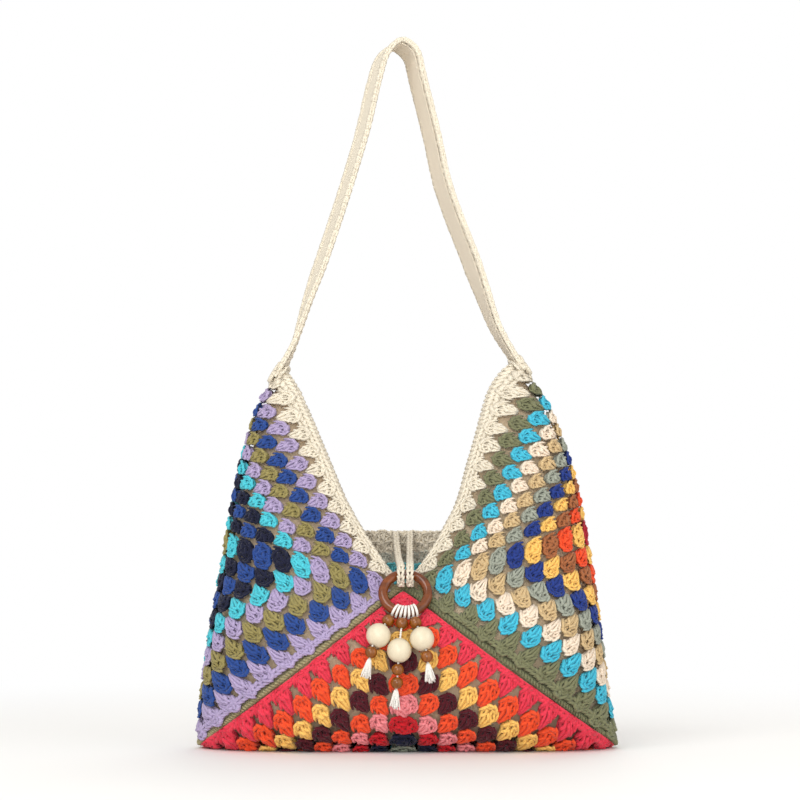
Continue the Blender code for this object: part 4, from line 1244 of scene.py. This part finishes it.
def sheet_from(name, place, count, track, material, node):
    """A thin closed sheet: place(i, j, side) gives flat places, and the track or skin maps them."""
    sides = []
    for k in (0, 1):
        flat = np.array([[place(i, j, k) for j in range(count[1])] for i in range(count[0])], float)
        sides.append(track(flat).reshape(-1, 3))
    size = count[0] * count[1]
    faces = []
    for i in range(count[0] - 1):
        for j in range(count[1] - 1):
            a, b = i * count[1] + j, (i + 1) * count[1] + j
            faces.append((a, a + 1, b + 1, b))
            faces.append((size + a, size + b, size + b + 1, size + a + 1))
    rows, columns = count
    rim = list(range(columns)) + [i * columns + columns - 1 for i in range(1, rows)]
    rim += [(rows - 1) * columns + j for j in range(columns - 2, -1, -1)]
    rim += [i * columns for i in range(rows - 2, 0, -1)]
    for a, b in zip(rim, rim[1:] + rim[:1]):
        faces.append((b, a, size + a, size + b))
    return piece(name, np.concatenate(sides), faces, material, "bag", node)


def lining(skins):
    """The cotton lining behind the crochet of each square, with soft ripples."""
    steps = 56
    ticks = np.linspace(-1, 1, steps)
    for name, skin in skins.items():

        def place(i, j, k, side=name != "base"):
            p, q = ticks[i], ticks[j]
            if side:
                low, high = edge_share() - 0.012, edge_share() + 0.035
                share = clamped((q + 0.9) / 0.4)
                p, q = min(p, low + (high - low) * share), min(q, high)
            ripple = 0.35 * math.sin(17 * p + 5 * q) + 0.3 * math.sin(21 * q - 7 * p + 1)
            return p, q, -(4.4 + ripple + 0.7 * k) * MM

        cloth = CLOTH["lining"]
        sheet_from(f"lining_{name}", place, (steps, steps), skin, cloth, "bag_lining")


def edging(skins):
    """Cream fans and a narrow border of V stitches round the mouth."""
    rim = HALF / MM
    outer = rim / edge_share() - 2.0
    for name, side in (("left", -1), ("right", 1)):
        skin = skins[name]

        def low(place, foot):
            return foot[0] < BACK_FOOT[side] * rim + 6 if place == 0 else foot[1] < -0.93 * rim

        feet, turns = round_feet(ROUNDS, (3, 0), low)
        batches = fans(feet, turns, skin.laid, EDGING_FAN_SCALE)
        batches += border(-0.95 * rim, outer + 1, outer, skin.laid, True)
        batches += border(BACK_FOOT[side] * rim - 3, outer + 1, outer, skin.laid, False)
        strand_mesh(
            f"edging_{name}", batches, YARN["cream"], "bag", "mouth_edging", skin.mirrored
        )


def back_panel():
    """The straight edge at the back of the mouth: cream, grey and cyan rows, wrong side to the front."""
    skin = Skin(
        lambda a, b: wall_point(a, b, False), (-0.066, 0.124), (0.060, 0.190), (40, 24),
        lambda points: points * MM,
    )
    # The grey and cyan rows use yarns painted lighter than their own colour, as painted light on this shaded
    # inner face.
    rows = (
        ("cream", 172.0, -50, 45, 14.0), ("cream", 163.0, -41, 36, 12.5), ("painted_lit_grey", 154.0, -33, 28, 12.5),
        ("painted_lit_cyan", 144.5, -27, 22, 11.5), ("painted_lit_cyan", 134.5, -19, 13, 11.0),
    )
    meshes = {"cream": [], "painted_lit_grey": [], "painted_lit_cyan": []}
    for colour, height, low, high, pitch in rows:
        count = int(round((high - low) / pitch))
        xs = np.linspace(low, high, count + 1)
        feet = np.stack([xs, 0 * xs + height], axis=1)
        meshes[colour] += fans(feet, np.zeros(len(feet)), skin.laid, (1.0, 0.95, 0.9), -1, (5, 5))
    meshes["cream"] += border(-54.0, 49.0, 183.2, skin.laid, False)
    for colour, batches in meshes.items():
        name, node, slot = (
            ("edging_back", "mouth_edging", "yarn_cream") if colour == "cream"
            else (f"insert_{colour}", "back_insert", "yarn_insert")
        )
        strand_mesh(name, batches, YARN[colour], "bag", node, skin.mirrored)


def mixed(tree, share, first, second, end):
    """Two shaders mixed by a share, and joined to an output node."""
    mix = joined(tree, "MixShader", enumerate((share, first.outputs[0], second.outputs[0])))
    joined(tree, tree.nodes[end], {"Surface": mix.outputs[0]})


def studio_world():
    """Soft light all round, and plain white where the camera and the gloss look."""
    world = bpy.data.worlds.new("studio")
    world.use_nodes = True
    bpy.context.scene.world = world
    tree = world.node_tree
    soft = joined(tree, tree.nodes["Background"], {"Color": (1.0, 0.985, 0.96, 1), "Strength": WORLD_LEVEL})
    bright = joined(tree, "Background", {"Color": (1, 1, 1, 1), "Strength": 1.0})
    rays = tree.nodes.new("ShaderNodeLightPath").outputs
    clear = maths(tree, "MAXIMUM", rays["Is Glossy Ray"], rays["Is Transmission Ray"])
    mixed(tree, maths(tree, "MAXIMUM", rays["Is Camera Ray"], clear), soft, bright, "World Output")


def studio_floor(reach=4.0):
    """Pale paper under the bag that fades to white further out."""
    mesh = bpy.data.meshes.new("floor")
    corners = [(x * reach, y * reach, 0) for x, y in ((-1, -1), (1, -1), (1, 1), (-1, 1))]
    mesh.from_pydata(corners, [], [(0, 1, 2, 3)])
    floor = shown("floor", mesh)
    floor.location.z = -0.0004
    made, tree, shader = nodes_of("floor_paper")
    joined(tree, shader, {"Base Color": (0.9, 0.89, 0.87, 1), "Roughness": 0.7})
    glow = joined(tree, "Emission", {"Color": (1, 1, 1, 1)})
    far = joined(tree, "VectorMath", {0: own_place(tree)}, operation="LENGTH").outputs["Value"]
    fade = {"From Min": 0.28, "From Max": 1.1, "To Max": 1.0, "Value": far}
    share = joined(tree, "MapRange", fade, interpolation_type="SMOOTHSTEP").outputs["Result"]
    rays = tree.nodes.new("ShaderNodeLightPath").outputs
    mixed(tree, maths(tree, "MULTIPLY", share, rays["Is Camera Ray"]), shader, glow, "Material Output")
    mesh.materials.append(made)


def surroundings():
    bpy.context.scene.view_settings.view_transform = "Standard"
    studio_world()
    studio_floor()
    for name, place, size, power in LAMPS:
        data = bpy.data.lights.new(name, "AREA")
        data.size = size
        data.energy = power
        aimed(name, data, place, Vector(LAMP_TARGET) - Vector(place))


# Where the edging ends at the back, as shares of a square's half side
BACK_FOOT = {-1: -0.49, 1: -0.506}
WORLD_LEVEL = 0.62
LAMP_TARGET = (0, 0, 0.25)
# Lamps: name, place, size in metres, power in watts
LAMPS = (
    ("key", (-1.1, -1.6, 1.9), 1.3, 25),
    ("fill", (1.7, -1.4, 0.8), 1.8, 11),
    ("front", (-0.1, -2.3, 0.55), 1.0, 18.5),
    ("back", (0.5, 1.8, 1.6), 1.6, 13),
)
YARN = {name: yarn_material(name, colour) for name, colour in COTTON.items()}
CLOTH = {
    "lining": cloth_material("lining_cotton", (222, 198, 166)),
    "strap_lining": cloth_material("strap_lining_cotton", (238, 225, 204)),
    "strap": cloth_material("strap_rows_cotton", (238, 227, 206), 0.0011),
}
WOOD = {
    "ring": wood_material("ring_varnished", (70, 29, 5), (136, 68, 15), 0.14, 0.42, 160, (0.25, 1, 1)),
    "brown_bead": wood_material(
        "brown_bead_varnished", (88, 43, 5), (156, 90, 18), 0.12, 0.42, 420, (1, 1, 0.3)
    ),
    "cream_bead": wood_material(
        "cream_bead_lacquered", (212, 199, 171), (225, 213, 187), 0.3, 0.25, 300, (1, 1, 0.35)
    ),
}

camera()
dangles()
SKINS = {"left": side_skin(-1), "right": side_skin(1), "base": base_skin()}
square("left", SKINS["left"], LEFT_YARNS, (1, 2))
square("right", SKINS["right"], RIGHT_YARNS, (1, 2))
square("bottom", SKINS["base"], BOTTOM_YARNS, (0, 1, 2, 3))
edging(SKINS)
back_panel()
lining(SKINS)
seams()
strap()
closure_cords()
ring()
surroundings()
